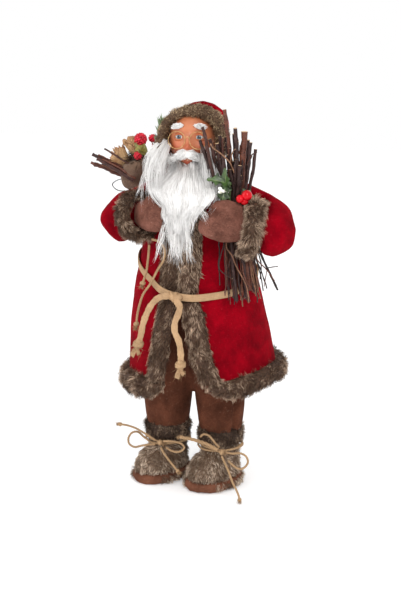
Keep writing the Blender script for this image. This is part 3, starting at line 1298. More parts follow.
# Eyes: a white ball, a grey-blue iris and a black pupil under a clear coat
for name, hand in (("right", -1), ("left", 1)):
    bpy.ops.mesh.primitive_uv_sphere_add(segments=32, ring_count=20, radius=1)
    eye = called(f"eye_{name}_glass")
    reshape(eye, lambda p: on_head(p * EYE_RADIUS + [hand * EYE_APART, EYE_BACK, EYE_HEIGHT]))
    coat_of = {"Coat Weight": 0.6, "Coat Roughness": 0.03}
    glass, tree, shader = finish_of(f"eye glass {name}", 0.08, coat_of)
    where = own_place(tree)
    gap = gap_to(tree, where, [hand * EYE_APART, EYE_BACK - EYE_RADIUS, EYE_HEIGHT])
    rays = add(tree, "ShaderNodeTexNoise", {"Vector": where, "Scale": 900.0, "Detail": 2.0})
    ring = sums(tree, "DIVIDE", gap, 0.004)
    iris = ramp(tree, ring, (0.32, (0.005, 0.005, 0.006, 1)), (0.38, paint(62, 78, 90)),
                (0.56, paint(96, 114, 126)), (0.66, paint(28, 36, 44)), (0.72, paint(226, 224, 218)),
                (1.0, paint(214, 206, 198)))
    iris = blend(tree, "MULTIPLY", 0.3, iris, rays.outputs["Color"])
    tree.links.new(iris, shader.inputs["Base Color"])
    dressed(eye, glass, "eye", "eye_" + name)
    bpy.ops.object.select_all(action="DESELECT")

# Spectacles: gold wire, bent into two rims, a bridge and two arms
RIM_RADIUS, RIM_APART, RIM_DEPTH, RIM_HEIGHT, RIM_WIRE = 9.5, 12.0, -36.5, -2.5, 0.32
turns = np.linspace(0, 2 * math.pi, 64, endpoint=False)
round_rim = np.stack([RIM_RADIUS * np.sin(turns), 0 * turns, RIM_RADIUS * np.cos(turns)], axis=-1)
backwards = unit(on_head([0, 1, 0]) - on_head([0, 0, 0]))
wires = []
for hand in (-1, 1):
    rim = on_head(np.array([hand * RIM_APART, RIM_DEPTH, RIM_HEIGHT]) + round_rim)
    rim_side, rim_up = square_to(rim, backwards, True)
    wires.append(sweep(rim, rim_side, rim_up, round_section(64, 8, RIM_WIRE / 1000), True))
inner, outer = RIM_APART - RIM_RADIUS, RIM_APART + RIM_RADIUS
bends = [[(-inner, RIM_DEPTH, -0.5), (0, RIM_DEPTH - 0.8, 1.6), (inner, RIM_DEPTH, -0.5)]]
for hand in (-1, 1):
    bends.append([(hand * outer, RIM_DEPTH, -1.5), (hand * (outer + 1.5), RIM_DEPTH + 5, -0.5),
                  (hand * (outer + 2.3), -15, 0.5)])
wires += [tube(smooth_route(on_head(bend) * 1000 - MOVE, 0.0008), 8, RIM_WIRE / 1000) for bend in bends]


def speckled(name, roughness, constants, scale, detail, dark, light, relief=0.0):
    """A finish that runs in specks from one (place, colour) stop to another."""
    made, tree, shader = finish_of(name, roughness, constants)
    specks = speckle(tree, own_place(tree), scale, detail)
    shown = ramp(tree, specks, *((place, paint(*colour)) for place, colour in (dark, light)))
    coloured(tree, shader, shown, specks, relief, 0.0005)
    return made


gold = speckled("gold wire", 0.3, {"Metallic": 1.0}, 300.0, 3.0, (0.35, (176, 140, 88)),
                (0.7, (220, 190, 136)))
dressed(new_piece("spectacles_wire", *gathered(*wires)), gold, "gold_wire", "spectacles")

# White hair, greyer where it is thin
white_hair = pile_finish("white hair", (232, 229, 226), (243, 241, 239), (251, 250, 249), 0.6, 0.25)


def wavy_hair(roots, ways, seed, points, droop, wave, curl_size, thick, reach, gather=0.3,
              spacing=0.004):
    """Locks of longer hair from given roots, each heading its own way and then drooping."""
    rng = np.random.default_rng(seed)
    count = len(roots)
    share = np.linspace(0, 1, points)[None, :, None]
    long = (reach * rng.uniform(0.6, 1.15, count))[:, None, None]
    ways = unit(ways + rng.normal(0, 0.16, (count, 3)))
    lines = roots[:, None] + share * long * ways[:, None]
    lines = lines + share**2 * long * droop * np.array([0, 0, -1.0])
    tuft = tuft_of(roots, rng, spacing)
    phase = rng.uniform(0, 6.28, (count, 3))[tuft]
    bends = np.sin(lines[..., 2:3] * 6.28 / curl_size + phase[:, None]) * wave * share
    lines = lines + bends
    together = lines[tuft] + (roots - roots[tuft])[:, None] * 0.4
    lines = lines * (1 - gather * share) + together * gather * share
    radii = (1 - share[..., 0] ** 2 * 0.8) * thick * rng.uniform(0.7, 1.3, (count, 1))
    tones = np.stack([rng.random(count), rng.random(count)[tuft]], axis=-1)
    return spikes(lines, radii, tones)


for name, hand in (("right", -1), ("left", 1)):
    brow = soft_copy("eyebrow_" + name, f"eyebrow_{name}_hair", 0.0009, 2, -0.0006)
    rng = np.random.default_rng(90 + hand)
    roots, facing = scattered(brow, 420, rng)
    sidewards = on_head([hand, -0.35, 0.35]) - on_head([0, 0, 0])
    haired(brow, wavy_hair(roots, 0.5 * facing + unit(sidewards), 91 + hand, 4, 0.1, 0.0004, 0.01,
                           0.0002, 0.0038))
    dressed(brow, white_hair, "white_hair", "eyebrow_" + name)

moustache = soft_copy("moustache", "moustache_hair", 0.0011, 3, -0.0002)
reshape(moustache, lambda p: p + np.exp(-(((p[:, :1] - HEAD_MIDDLE[0]) / 0.006) ** 2)) * [0, 0, 0.0016])
rng = np.random.default_rng(95)
roots, facing = scattered(moustache, 1000, rng)
own = (roots - HEAD_MIDDLE) @ HEAD_AXES
sidewards = [1.2 * np.tanh(own[:, 0] / 0.0012), 0 * own[:, 0] - 0.1, -0.6 * np.abs(own[:, 0]) / 0.02]
sidewards = np.stack(sidewards, axis=-1) @ HEAD_AXES.T
haired(moustache, wavy_hair(roots, 0.2 * facing + unit(sidewards), 96, 4, 0.1, 0.0004, 0.01,
                            0.00024, 0.0066))
dressed(moustache, white_hair, "white_hair", "moustache")

# Beard: its left and right edge, its front, and how far each edge lies back, at each height
BEARD = np.array([
    [282, -10, 18, -67, 1, 1], [300, -10, 21, -73, 3, 2], [316, -10, 23, -77, 4, 3],
    [330, -9, 25, -80, 6, 2], [344, -10, 29, -82, 9, -2], [353, -14, 39, -82, 12, -4],
    [364, -32, 47, -78, 14, -2], [384, -41, 41, -60, 20, 14], [400, -41, 33, -50, 20, 18],
    [416, -35, 28, -41, 18, 18],
]) / 1000
face_skin = BVHTree.FromObject(head, bpy.context.evaluated_depsgraph_get())


def to_the_face(p, out, loose):
    """Places above the chin brought back towards the face, the nearer the higher they lie, to a
    distance out of it, and less at the sides where loose is more."""
    share = np.clip((p[:, 2] - 0.364) / 0.028, 0, 1)
    share = share * share * (3 - 2 * share)
    arms = (p - HEAD_MIDDLE) * [1, 1, 0]
    beside = np.clip((np.degrees(np.arctan2(np.abs(arms[:, 0]), -arms[:, 1])) - 35) / 35, 0, 1)
    moved = p.copy()
    for k in np.flatnonzero(share > 0):
        way = Vector(arms[k]).normalized()
        level = Vector((HEAD_MIDDLE[0], HEAD_MIDDLE[1], max(p[k, 2], 0.3925)))
        met = face_skin.ray_cast(level + way * 0.08, -way)[0]
        if met is not None:
            goal = np.array(met + way * out[k])[:2]
            moved[k, :2] += share[k] * (1 - loose * beside[k]) * (goal - p[k, :2])
    return moved


def beard_point(side, z, lift):
    """A place on the front of the beard, side from -1 to 1, and so far out of it."""
    left, right, front, left_wrap, right_wrap = (along_table(BEARD, k, z, 0.006) for k in range(1, 6))
    x = (left + right) / 2 + ((right - left) / 2 + 0.6 * lift) * side
    y = front + np.where(side < 0, left_wrap, right_wrap) * np.minimum(side * side, 1.6) - lift
    return np.stack([x, y, z], axis=-1) + CENTRE


def beard_slimmed(p):
    """The body of the beard drawn in below, so that its locks stand clear of it."""
    z = p[:, 2]
    left, right, front = (along_table(BEARD, column, z) for column in (1, 2, 3))
    back = np.column_stack([left * 0.5 + right * 0.5, front + 0.012, z]) + CENTRE
    return back + (p - back) * np.clip((z - 0.325) / 0.035, 0.1, 1)[:, None]


beard = soft_copy("beard", "beard_hair", 0.0022, 5, -0.0012)
reshape(beard, beard_slimmed)
reshape(beard, lambda p: to_the_face(p, np.full(len(p), 0.0006), 0.75))
at_middle = lambda p: np.exp(-(((p[:, :1] - HEAD_MIDDLE[0]) / 0.0095) ** 2))
below_lips = lambda p: at_middle(p) * np.clip((p[:, 2:] - 0.378) / 0.01, 0, 1)
reshape(beard, lambda p: p + below_lips(p) * [0, 0, 0.0012])
rng = np.random.default_rng(100)
COUNT = 2500
side = rng.uniform(-1.05, 1.05, COUNT)
crown = (390.5 + 22.5 * np.abs(side) ** 1.3) / 1000
start = crown - 0.085 * rng.random(COUNT) ** 1.5 * (1 - 0.3 * side**2)
foot = (286 + 64 * np.clip((np.abs(side) - 0.5) / 0.25, 0, 1) ** 1.5) / 1000
end = np.maximum(foot + 0.062 * rng.random(COUNT) ** 0.5, start - rng.uniform(0.05, 0.115, COUNT))
end = np.minimum(end, start - 0.02)
POINTS = 7
share = np.linspace(0, 1, POINTS)[None]
z = start[:, None] + (end - start)[:, None] * share
lock_of = np.round(side * 11 + 0.6 * rng.normal(size=COUNT)).astype(int)
lock_seed = rng.uniform(0, 6.28, (60, 3))[lock_of + 30]
lower = np.clip((0.358 - z) / 0.045, 0, 1)
spread = 1 + 0.12 * np.clip((0.35 - z) / 0.025, 0, 1)
wave = np.sin(z * 6.28 / 0.026 + lock_seed[:, :1]) * (0.012 + 0.06 * lower)
loose = rng.normal(0, 0.035, (COUNT, 1)) + 0.08 * rng.normal(size=(COUNT, 1)) * lower
locked = (lock_of / 11)[:, None]
gather = 0.6 * lower * share
side_line = (side[:, None] * (1 - gather) + locked * gather) * spread + wave + loose * share
lift = 0.0005 + 0.0026 * rng.random((COUNT, 1)) * (0.4 + share)
lift = lift + 0.0016 * np.sin(z * 6.28 / 0.03 + lock_seed[:, 1:2])
lines = beard_point(side_line, z, lift)
lines = to_the_face(lines.reshape(-1, 3), 0.0008 + lift.ravel(), 0.85).reshape(lines.shape)
radii = (1 - 0.75 * share**2) * (0.00036 - 0.00023 * lower) * rng.uniform(0.7, 1.25, (COUNT, 1))
tones = np.stack([rng.random(COUNT), rng.random(60)[lock_of + 30]], axis=-1)
main_locks = spikes(lines, radii, tones)

# Loose locks at the cheeks fall over the fur and the shoulder, and a few hairs stray from the end:
# the number of hairs in each lock, its half breadth in millimetres and the way that it takes
LOOSE = (
    (70, 2.4, [(-27, -35, 418), (-36, -41, 410), (-41, -46, 398), (-40, -52, 384),
        (-36, -58, 371), (-30, -66, 358)]),
    (80, 2.8, [(-24, -36, 417), (-30, -43, 406), (-34, -50, 392), (-33, -58, 377),
        (-28, -66, 364), (-20, -74, 352)]),
    (90, 3.2, [(-20, -38, 414), (-23, -45, 402), (-25, -53, 389), (-23, -61, 376),
        (-17, -69, 365), (-10, -77, 354)]),
    (8, 1.2, [(-33, -38, 404), (-40, -46, 392), (-45, -52, 378), (-48, -56, 364), (-54, -60, 350),
        (-57, -62, 341)]),
    (14, 2.0, [(-31, -36, 408), (-38, -45, 397), (-43, -50, 383), (-43, -56, 368),
        (-40, -64, 354), (-37, -68, 342)]),
    (50, 2.6, [(31, -34, 410), (37, -43, 398), (42, -50, 384), (48, -62, 370), (50, -74, 360),
        (44, -84, 350)]),
    (50, 3.0, [(22, -38, 412), (27, -45, 401), (32, -53, 388), (35, -62, 376), (36, -70, 364)]),
    (30, 2.0, [(20, -76, 362), (32, -84, 354), (41, -88, 347), (44, -88, 338)]),
    (9, 3.4, [(-8, -80, 330), (-11, -81, 314), (-12, -80, 299), (-17, -78, 286)]),
    (10, 2.0, [(-9, -80, 322), (-15, -80, 308), (-20, -78, 294), (-26, -76, 283)]),
    (22, 2.0, [(19, -82, 326), (22, -82, 310), (20, -80, 298), (25, -78, 286)]),
    (26, 4.0, [(6, -82, 322), (6, -82, 308), (5, -80, 296), (6, -78, 284)]),
)
loose_locks = []
for count, breadth, route in LOOSE:
    lead = smooth_route(route, 0.002)
    lead = lead[np.linspace(0, len(lead) - 1, POINTS).round().astype(int)]
    aside = np.clip(rng.normal(0, 1, (count, 1, 3)), -1.7, 1.7) * breadth / 1000
    aside = aside * (0.5 + 0.7 * share[..., None])
    waver = np.sin(share * rng.uniform(6, 12, (count, 1)) + rng.uniform(0, 6, (count, 1)))[..., None]
    waver = waver * rng.normal(0, 0.0015, (count, 1, 3))
    stop = rng.uniform(0.6, 1.05, (count, 1))
    index = np.clip(share * stop, 0, 1) * (POINTS - 1)
    path = np.stack([np.interp(index, np.arange(POINTS), lead[:, k]) for k in range(3)], axis=-1)
    lock = path + aside + waver * share[..., None]
    radii = (1 - 0.75 * share**2) * 0.00026 * rng.uniform(0.7, 1.3, (count, 1))
    tones = np.stack([rng.random(count) * 0.7, np.full(count, 0.5)], axis=-1)
    loose_locks.append(spikes(lock, radii, tones))
haired(beard, main_locks, *loose_locks)
dressed(beard, white_hair, "white_hair", "beard")


# Hood: red felt over the head, bound round the face with fur that is combed back.
def leaning(p, side, lift):
    """The top of the hood sits a little to the figure's left."""
    share = np.clip((p[:, 2:] - 0.405) / 0.05, 0, 1)
    reach = np.linalg.norm((p - HEAD_MIDDLE) * [1, 0.3, 1], axis=1, keepdims=True)
    outside = np.clip((reach - 0.026) / 0.01, 0, 1)
    return p + share * outside * [side, 0, lift]


hood = soft_copy("hood", "hood_felt", 0.0025, 8, 0.0008)
creased(hood, 0.04, 0.0018, 110)
reshape(hood, lambda p: leaning(p, 0.0105, 0.0015))
dressed(hood, red_felt, "red_felt", "hood")
hood_fur = pile_finish("hood fur", (58, 41, 29), (110, 84, 62), (206, 180, 144), spread=0.7)
binding = soft_copy("hood_trim", "hood_fur_binding", 0.0022, 4, -0.0012)
fuller_top = lambda p: (np.clip((p[:, 2:] - 0.428) / 0.02, 0, 1)
                        * np.clip((0.034 - p[:, :1]) / 0.02, 0, 1))
reshape(binding, lambda p: p + fuller_top(p) * (0.0016 * normals_of(binding) + [0, -0.001, -0.0012]))
reshape(binding, lambda p: leaning(p, 0.0065, -0.0006))
combed = lambda p, n: 0.35 * unit(p - HEAD_MIDDLE) + 0.9 * backwards + 0.45 * swirled(p, 0.022, 111)
hood_light = lambda p: np.interp(p[:, 0], [-0.03, 0.0, 0.03], [-0.1, 0.03, 0.24])
haired(binding, pile_on(binding, 9300, 0.0058, combed, 111, None, 0.00022, stand=0.3, light=hood_light))
dressed(binding, hood_fur, "brown_fur", "hood_trim")


# The sack on the shoulder: coarse brown-grey hessian round a soft filling, gathered below its
# mouth. Dried moss closes the mouth round what is put in it.
SACK_ROUTE = [
    (-87, 25, 389), (-82, 31, 372), (-74, 39, 358), (-56, 58, 328), (-36, 72, 290), (-26, 76, 252),
]
sack = soft_copy("sack", "sack_hessian", 0.0025, 6, 0.0004)
stuffed(sack, 0.002)


def sack_slump(p):
    """The sack's flank sags over the shoulder, under the twigs in its mouth."""
    near = np.exp(-(((p[:, 2] - 0.362) / 0.013) ** 2) - ((p[:, 0] + 0.086) / 0.024) ** 2)
    return p + near[:, None] * [-0.008, -0.003, -0.010]


reshape(sack, sack_slump)
creased(sack, 0.024, 0.0028, 120, (1, 1, 0.45))
creased(sack, 0.011, 0.0008, 121)

# The weave follows the sack: along its length one way, and round it the other
middle_line = smooth_route(SACK_ROUTE, 0.004)
run = np.append(0, np.cumsum(np.linalg.norm(np.diff(middle_line, axis=0), axis=1)))
sack_side, sack_up = carried(middle_line)
corners = corners_of(sack)
nearest = np.argmin(np.linalg.norm(corners[:, None] - middle_line[None], axis=2), axis=1)
arm = corners - middle_line[nearest]
turn = np.arctan2(np.sum(arm * sack_up[nearest], axis=1), np.sum(arm * sack_side[nearest], axis=1))
length_way = run[nearest] + np.sum(arm * unit(np.gradient(middle_line, axis=0))[nearest], axis=1)
lay = sack.data.uv_layers.new(name="lay")
for face in sack.data.polygons:
    first = turn[face.vertices[0]]
    for corner, vertex in zip(face.loop_indices, face.vertices):
        wrapped = first + (turn[vertex] - first + math.pi) % (2 * math.pi) - math.pi
        lay.data[corner].uv = (length_way[vertex], wrapped * 0.03)

hessian, tree, shader = finish_of("hessian", 0.95, {"Specular IOR Level": 0.15, "Sheen Weight": 0.15})
laid = laid_on(tree)
where = own_place(tree)
warp = add(tree, "ShaderNodeTexNoise", {"Vector": where, "Scale": 140.0, "Detail": 2.0})
warped = {0: 0.0006, 1: laid, 2: warp.outputs["Color"]}
laid = add(tree, "ShaderNodeMixRGB", warped, blend_type="ADD").outputs[0]
threads = []
for direction in ("X", "Y"):
    wave = {"Vector": laid, "Scale": 290.0, "Distortion": 0.6, "Detail": 1.0, "Detail Scale": 3.0}
    wave = add(tree, "ShaderNodeTexWave", wave, wave_type="BANDS", bands_direction=direction)
    threads.append(wave.outputs["Fac"])
weave = sums(tree, "MAXIMUM", threads[0], threads[1])
worn = speckle(tree, where, 45.0, 4.0)
dyed = ramp(tree, worn, (0.3, paint(98, 74, 60)), (0.7, paint(142, 116, 96)))
groove = blend(tree, "MULTIPLY", 0.75, dyed, paint(120, 96, 84))
dyed = blend(tree, "MIX", between(tree, weave, 0.25, 0.95), groove, dyed)
shown, fuzz = with_fibres(tree, dyed, 900.0, 70.0, 0.6)
coloured(tree, shader, shown, plus(tree, weave, times(tree, fuzz, 0.4)), 0.7, 0.0006)
dressed(sack, hessian, "hessian", "sack")


def stranded(name, *growths):
    """Hair, sticks and the like as a piece of their own."""
    points, faces, tones = gathered_hair(*growths)
    made = bpy.data.objects.new(name, toned_mesh(name, points, faces.tolist(), tones))
    bpy.context.collection.objects.link(made)
    return made


rng = np.random.default_rng(130)
count = 480
mouth = in_figure([-84, 24, 386])
spots = unit(rng.normal(size=(count, 3))) * rng.random((count, 1)) ** 0.4
spots = mouth + spots * [0.017, 0.0155, 0.010]
ways = unit(unit(spots - mouth) + [-0.2, 0, 0.9] + 0.9 * rng.normal(size=(count, 3)))
moss = wavy_hair(spots, ways, 131, 4, 0.5, 0.0012, 0.008, 0.0004, 0.011, 0.1)
moss_finish = pile_finish("dried moss", (40, 27, 20), (74, 54, 40), (110, 92, 70))
dressed(stranded("sack_moss", moss), moss_finish, "hessian")


# Twigs: thin dark red-brown bark with knots, pale where it is cut. Five stand in the sack.
def stick(route, radius, seed, tone, taper=0.9, wobble=0.9, sides=7, gap=0.0045, knot_gap=7):
    """A cut twig: uneven, a little crooked, thicker at its knots, with clean cut ends."""
    rng = np.random.default_rng(seed)
    line = smooth_route(route, gap)
    count = len(line)
    sway = np.cumsum(rng.normal(0, 0.35, (count, 3)), axis=0)
    share = np.linspace(0, 1, count)[:, None]
    sway = sway - sway[0] * (1 - share) - sway[-1] * share
    line = line + sway * wobble / 1000
    radii = radius / 1000 * np.interp(share[:, 0], [0, 1], [1, taper])
    radii = radii * (1 + 0.07 * rng.normal(size=count))
    radii[rng.integers(2, knot_gap)::knot_gap] *= 1.22
    side, up = carried(line)
    angle = np.linspace(0, 2 * math.pi, sides, endpoint=False)
    ring = np.cos(angle)[None, :, None] * side[:, None] + np.sin(angle)[None, :, None] * up[:, None]
    uneven = 1 + 0.09 * np.cos(2 * angle + rng.uniform(0, 6)) + 0.04 * rng.normal(size=(count, sides))
    rings = line[:, None] + ring * (radii[:, None] * uneven)[..., None]
    points = np.vstack([rings.reshape(-1, 3), rings[0], rings[-1], line[:1], line[-1:]])
    faces = []
    for k in range(count - 1):
        for i in range(sides):
            j = (i + 1) % sides
            a, b, c, d = k * sides + i, k * sides + j, (k + 1) * sides + j, (k + 1) * sides + i
            faces += [(a, b, c), (a, c, d)]
    near, far = count * sides, count * sides + sides
    for i in range(sides):
        j = (i + 1) % sides
        faces += [(near + j, near + i, far + sides), (far + i, far + j, far + sides + 1)]
    tones = np.zeros((len(points), 4))
    tones[near:, 0] = 1
    tones[:, 1] = tone + rng.normal(0, 0.08)
    tones[: count * sides, 2] = np.repeat(0.5 + 0.2 * rng.normal(size=count), sides)
    tones[:, 3] = 1
    return points, np.array(faces), tones


bark, tree, shader = finish_of("bark", 0.55, {"Specular IOR Level": 0.35})
where = own_place(tree)
cut, tone, ring_shade = strand_tones(tree)
grey = speckle(tree, where, 160.0, 5.0, 0.7)
fine = speckle(tree, where, 900.0, 3.0)
rind = ramp(tree, tone, (0.0, paint(30, 17, 15)), (0.4, paint(66, 36, 31)),
            (0.7, paint(122, 68, 48)), (1.0, paint(168, 126, 94)))
rind = blend(tree, "MIX", between(tree, grey, 0.56, 0.74, 0.0, 0.55), rind, paint(140, 112, 106))
rind = blend(tree, "MULTIPLY", between(tree, fine, 0.35, 0.6, 0.7, 0.0), rind, paint(80, 60, 56))
rind = blend(tree, "MULTIPLY", between(tree, ring_shade, 0.3, 0.7, 0.45, 0.0), rind, paint(110, 84, 78))
wood = ramp(tree, fine, (0.3, paint(176, 140, 104)), (0.7, paint(222, 192, 150)))
coloured(tree, shader, blend(tree, "MIX", cut, rind, wood), plus(tree, fine, grey), 0.5, 0.0005)

SACK_TWIGS = (
    ((-91, 18, 372), (-135.6, 8, 392), 2.3), ((-91, 14, 366), (-128, 5, 388), 3.0),
    ((-94, 20, 363), (-140.5, 14, 381), 2.2), ((-86, 13, 381), (-118, 4, 400), 1.2),
    ((-95, 26, 366.5), (-130, 21, 378), 1.8),
)
for number, (start, end, radius) in enumerate(SACK_TWIGS):
    name = f"sack_twig_{number + 1}"
    inner = np.array(start) + 0.16 * (np.array(start) - end)
    pair = [stick([inner, start, end], radius * 0.95, 140 + number, 0.42, 0.86, 0.5, 9, 0.003)]
    if radius > 2:
        beside = np.array([2.4, -1.4, 2.0])
        short_end = end + beside - 0.12 * (np.array(end) - start)
        pair.append(stick([inner + beside, short_end], radius * 0.5, 150 + number, 0.66, 0.8, 0.8, 6,
                          0.003))
    dressed(stranded(name + "_bark", *pair), bark, "bark", name)


# Shaved wood roses: thin cream shavings set round a stem, each curling out at its top
def shaving(foot, axis, turned, reach, high, wide, flare, seed):
    """One shaving of a rose, bowed round the axis, with a rounded and slightly torn top."""
    rng = np.random.default_rng(seed)
    side = unit(np.cross(axis, [0.3, 1, 0.2]))
    up = np.cross(axis, side)
    v, u = np.meshgrid(np.linspace(0, 1, 7), np.linspace(-1, 1, 7), indexing="ij")
    edge = 0.04 * rng.normal(size=7)[None]
    rise = high * v * (1 - 0.16 * u**2 * v + edge * v)
    out = reach * (0.4 + 0.6 * v**0.6) + flare * v**3
    fan = 0.55 + 0.45 * np.sin(math.pi * np.clip(v, 0, 0.85) * 0.6 + 0.5)
    angle = turned + u * wide / np.maximum(out, 0.3 * reach) * fan
    surfaces = []
    for step in (0.0, -0.45):
        level = out + step
        spot = (np.cos(angle) * level)[..., None] * side + (np.sin(angle) * level)[..., None] * up
        surfaces.append(in_figure(foot + (spot + rise[..., None] * axis)))
    return shell(*surfaces)


wood_finish, tree, shader = finish_of("shaved wood", 0.7, {"Specular IOR Level": 0.3})
laid = laid_on(tree)
where = own_place(tree)
stretched = add(tree, "ShaderNodeMapping", {"Vector": laid, "Scale": (1.2, 9.0, 1.0)}).outputs[0]
grain = speckle(tree, stretched, 2.2, 4.0)
aged = speckle(tree, where, 90.0, 2.0)
pale = ramp(tree, grain, (0.3, paint(140, 102, 68)), (0.62, paint(208, 174, 130)))
pale = blend(tree, "MIX", between(tree, aged, 0.52, 0.7, 0.0, 0.7), pale, paint(150, 104, 66))
top = add(tree, "ShaderNodeSeparateXYZ", {0: laid}).outputs["X"]
pale = blend(tree, "MIX", times(tree, between(tree, top, 0.9, 1.0), 0.55), pale, paint(138, 76, 56))
coloured(tree, shader, pale, grain, 0.4, 0.0004)

ROSES = (
    ("wood_rose_low", (-90, 24, 374), (-103.5, 21, 387), 11.2, 26),
    ("wood_rose_high", (-84, 30, 376), (-87.5, 24, 402), 11.0, 24),
)
LAYERS = ((0.98, 7, 2.2), (0.72, 6, 1.2), (0.45, 4, 0.5), (0.2, 3, 0.2))
for number, (name, foot, centre, reach, high) in enumerate(ROSES):
    axis = unit(np.array(centre, dtype=float) - foot)
    base = np.array(centre) - axis * reach
    rng = np.random.default_rng(160 + number)
    shavings = []
    for layer, (share, petals, flare) in enumerate(LAYERS):
        for k in range(petals):
            turned = 2 * math.pi * (k + 0.5 * layer) / petals + rng.normal(0, 0.12)
            tall = high * (0.86 + 0.05 * layer) * rng.uniform(0.9, 1.05)
            shavings.append(shaving(base, axis, turned, reach * share, tall, reach * share * 0.62,
                                    flare, 1600 + 40 * number + 10 * layer + k))
    shavings.append(tube(smooth_route([foot, base + axis * 2], 0.002), 8, 0.0014))
    rose = new_piece(name + "_shavings", *gathered(*shavings))
    tidy_mesh(rose, 0.000001)
    dressed(rose, wood_finish, "shaved_wood", name)

# Red balls: foam, covered all over in round seeds, each ball on its own wire
foam_coat = {"Specular IOR Level": 0.3, "Coat Weight": 0.1, "Coat Roughness": 0.3}
red_foam = speckled("red foam", 0.45, foam_coat, 220.0, 3.0, (0.35, (150, 8, 26)),
                    (0.65, (214, 30, 56)), 0.4)
GOLDEN_TURN = 2.39996
BALLS = (
    ("red_ball_high", (-77.5, 19, 411), 7.2, (-80, 34, 378), 52, 1.7),
    ("red_ball_side", (-65, 26, 412), 4.6, (-74, 36, 378), 30, 1.15),
    ("red_ball_low", (-77, 9, 393), 4.6, (-76, 24, 377), 26, 1.2),
)


def unit_ball(subdivisions):
    """A ball of radius one: its corners, its faces and an empty lay."""
    bpy.ops.mesh.primitive_ico_sphere_add(subdivisions=subdivisions, radius=1)
    made = bpy.context.object
    faces = [tuple(face.vertices) for face in made.data.polygons]
    body = corners_of(made), faces, np.zeros((3 * len(faces), 2))
    bpy.data.objects.remove(made)
    return body


for number, (name, centre, radius, foot, seeds, seed_size) in enumerate(BALLS):
    centre = np.array(centre, dtype=float)
    ball, *ball_faces = unit_ball(3)
    seed_ball, *seed_faces = unit_ball(2)
    swell = 0.93 + ripple(ball, 0.5, 0.1, 170 + number)[:, None]
    bodies = [(in_figure(centre + ball * radius * swell), *ball_faces)]
    for k in range(seeds):
        lean = math.acos(1 - 2 * (k + 0.5) / seeds)
        way = [math.sin(lean) * math.cos(k * GOLDEN_TURN), math.sin(lean) * math.sin(k * GOLDEN_TURN),
               math.cos(lean)]
        spot = centre + np.array(way) * radius * 0.9
        bodies.append((in_figure(spot + seed_ball * seed_size), *seed_faces))
    bodies.append(tube(smooth_route([foot, (centre + foot) / 2 + [1, 0, 1], centre], 0.002), 6, 0.0006))
    dressed(new_piece(name + "_foam", *gathered(*bodies)), red_foam, "red_gloss", name)


# Leaves: thin moulded blades, folded along a middle rib, and for the holly drawn out in spines
def leaf(base, tip, half_wide, facing, spines, fold=0.35, bend=1.5):
    """One leaf from its base to its tip, in millimetres, with its upper side facing one way."""
    base, tip = np.array(base, dtype=float), np.array(tip, dtype=float)
    along = unit(tip - base)
    side = unit(np.cross(along, facing))
    up = np.cross(side, along)
    t, s = np.meshgrid(np.linspace(0, 1, 33), np.linspace(-1, 1, 9), indexing="ij")
    profile = np.sin(math.pi * t**0.9) ** 0.75
    if spines:
        tooth = np.abs(((t * spines + 0.1) % 1) - 0.5) * 2
        profile = profile * (0.45 + 0.72 * tooth**1.8) + 0.02
    wide = half_wide * profile
    height = fold * np.abs(s) * wide + bend * np.sin(math.pi * t)
    if spines:
        height = height + 0.5 * np.sin(t * spines * 6.28 + s) * np.abs(s) ** 2
    spot = base + (tip - base) * t[..., None] + side * (s * wide)[..., None] + up * height[..., None]
    thin = 0.35 * np.clip(1 - np.abs(s), 0.15, 1)[..., None]
    return shell(in_figure(spot), in_figure(spot - up * thin))


def leaf_finish(name, dark, light, rib, roughness):
    """A blade of two greens with a paler rib and side veins."""
    made, tree, shader = finish_of(name, roughness, {"Coat Weight": 0.15, "Coat Roughness": 0.25})
    laid = add(tree, "ShaderNodeSeparateXYZ", {0: laid_on(tree)}).outputs
    mottle = speckle(tree, own_place(tree), 160.0, 3.0)
    across = sums(tree, "ABSOLUTE", laid["Y"])
    slant = plus(tree, times(tree, laid["X"], 44.0), times(tree, across, -9.0))
    vein = between(tree, sums(tree, "SINE", slant), 0.86, 1.0)
    middle_rib = between(tree, across, 0.1, 0.02)
    green = ramp(tree, mottle, (0.35, paint(*dark)), (0.65, paint(*light)))
    paler = times(tree, sums(tree, "MAXIMUM", times(tree, vein, 0.45), middle_rib), 0.7)
    green = blend(tree, "MIX", paler, green, paint(*rib))
    coloured(tree, shader, green, sums(tree, "MAXIMUM", vein, middle_rib), 0.3, 0.0004)
    return made


holly_green = leaf_finish("holly green", (20, 34, 14), (62, 88, 38), (128, 146, 92), 0.35)
olive_green = leaf_finish("olive green", (84, 80, 26), (136, 128, 52), (170, 160, 96), 0.5)
pine_green = leaf_finish("pine green", (86, 106, 72), (130, 150, 108), (150, 166, 130), 0.6)

blades = [
    leaf((-69, 12, 394), (-80, 7, 408), 6, (-0.2, -0.9, 0.4), 3),
    leaf((-70, 12, 395), (-68, 8, 408), 4.5, (0.2, -0.9, 0.3), 0),
    tube(smooth_route([(-74, 24, 379), (-71, 17, 387), (-69, 11.6, 395)], 0.002), 6, 0.0009),
]
sprig = new_piece("sack_leaf_blade", *gathered(*blades))
tidy_mesh(sprig, 0.000001)
dressed(sprig, olive_green, "leaf", "sack_leaf")

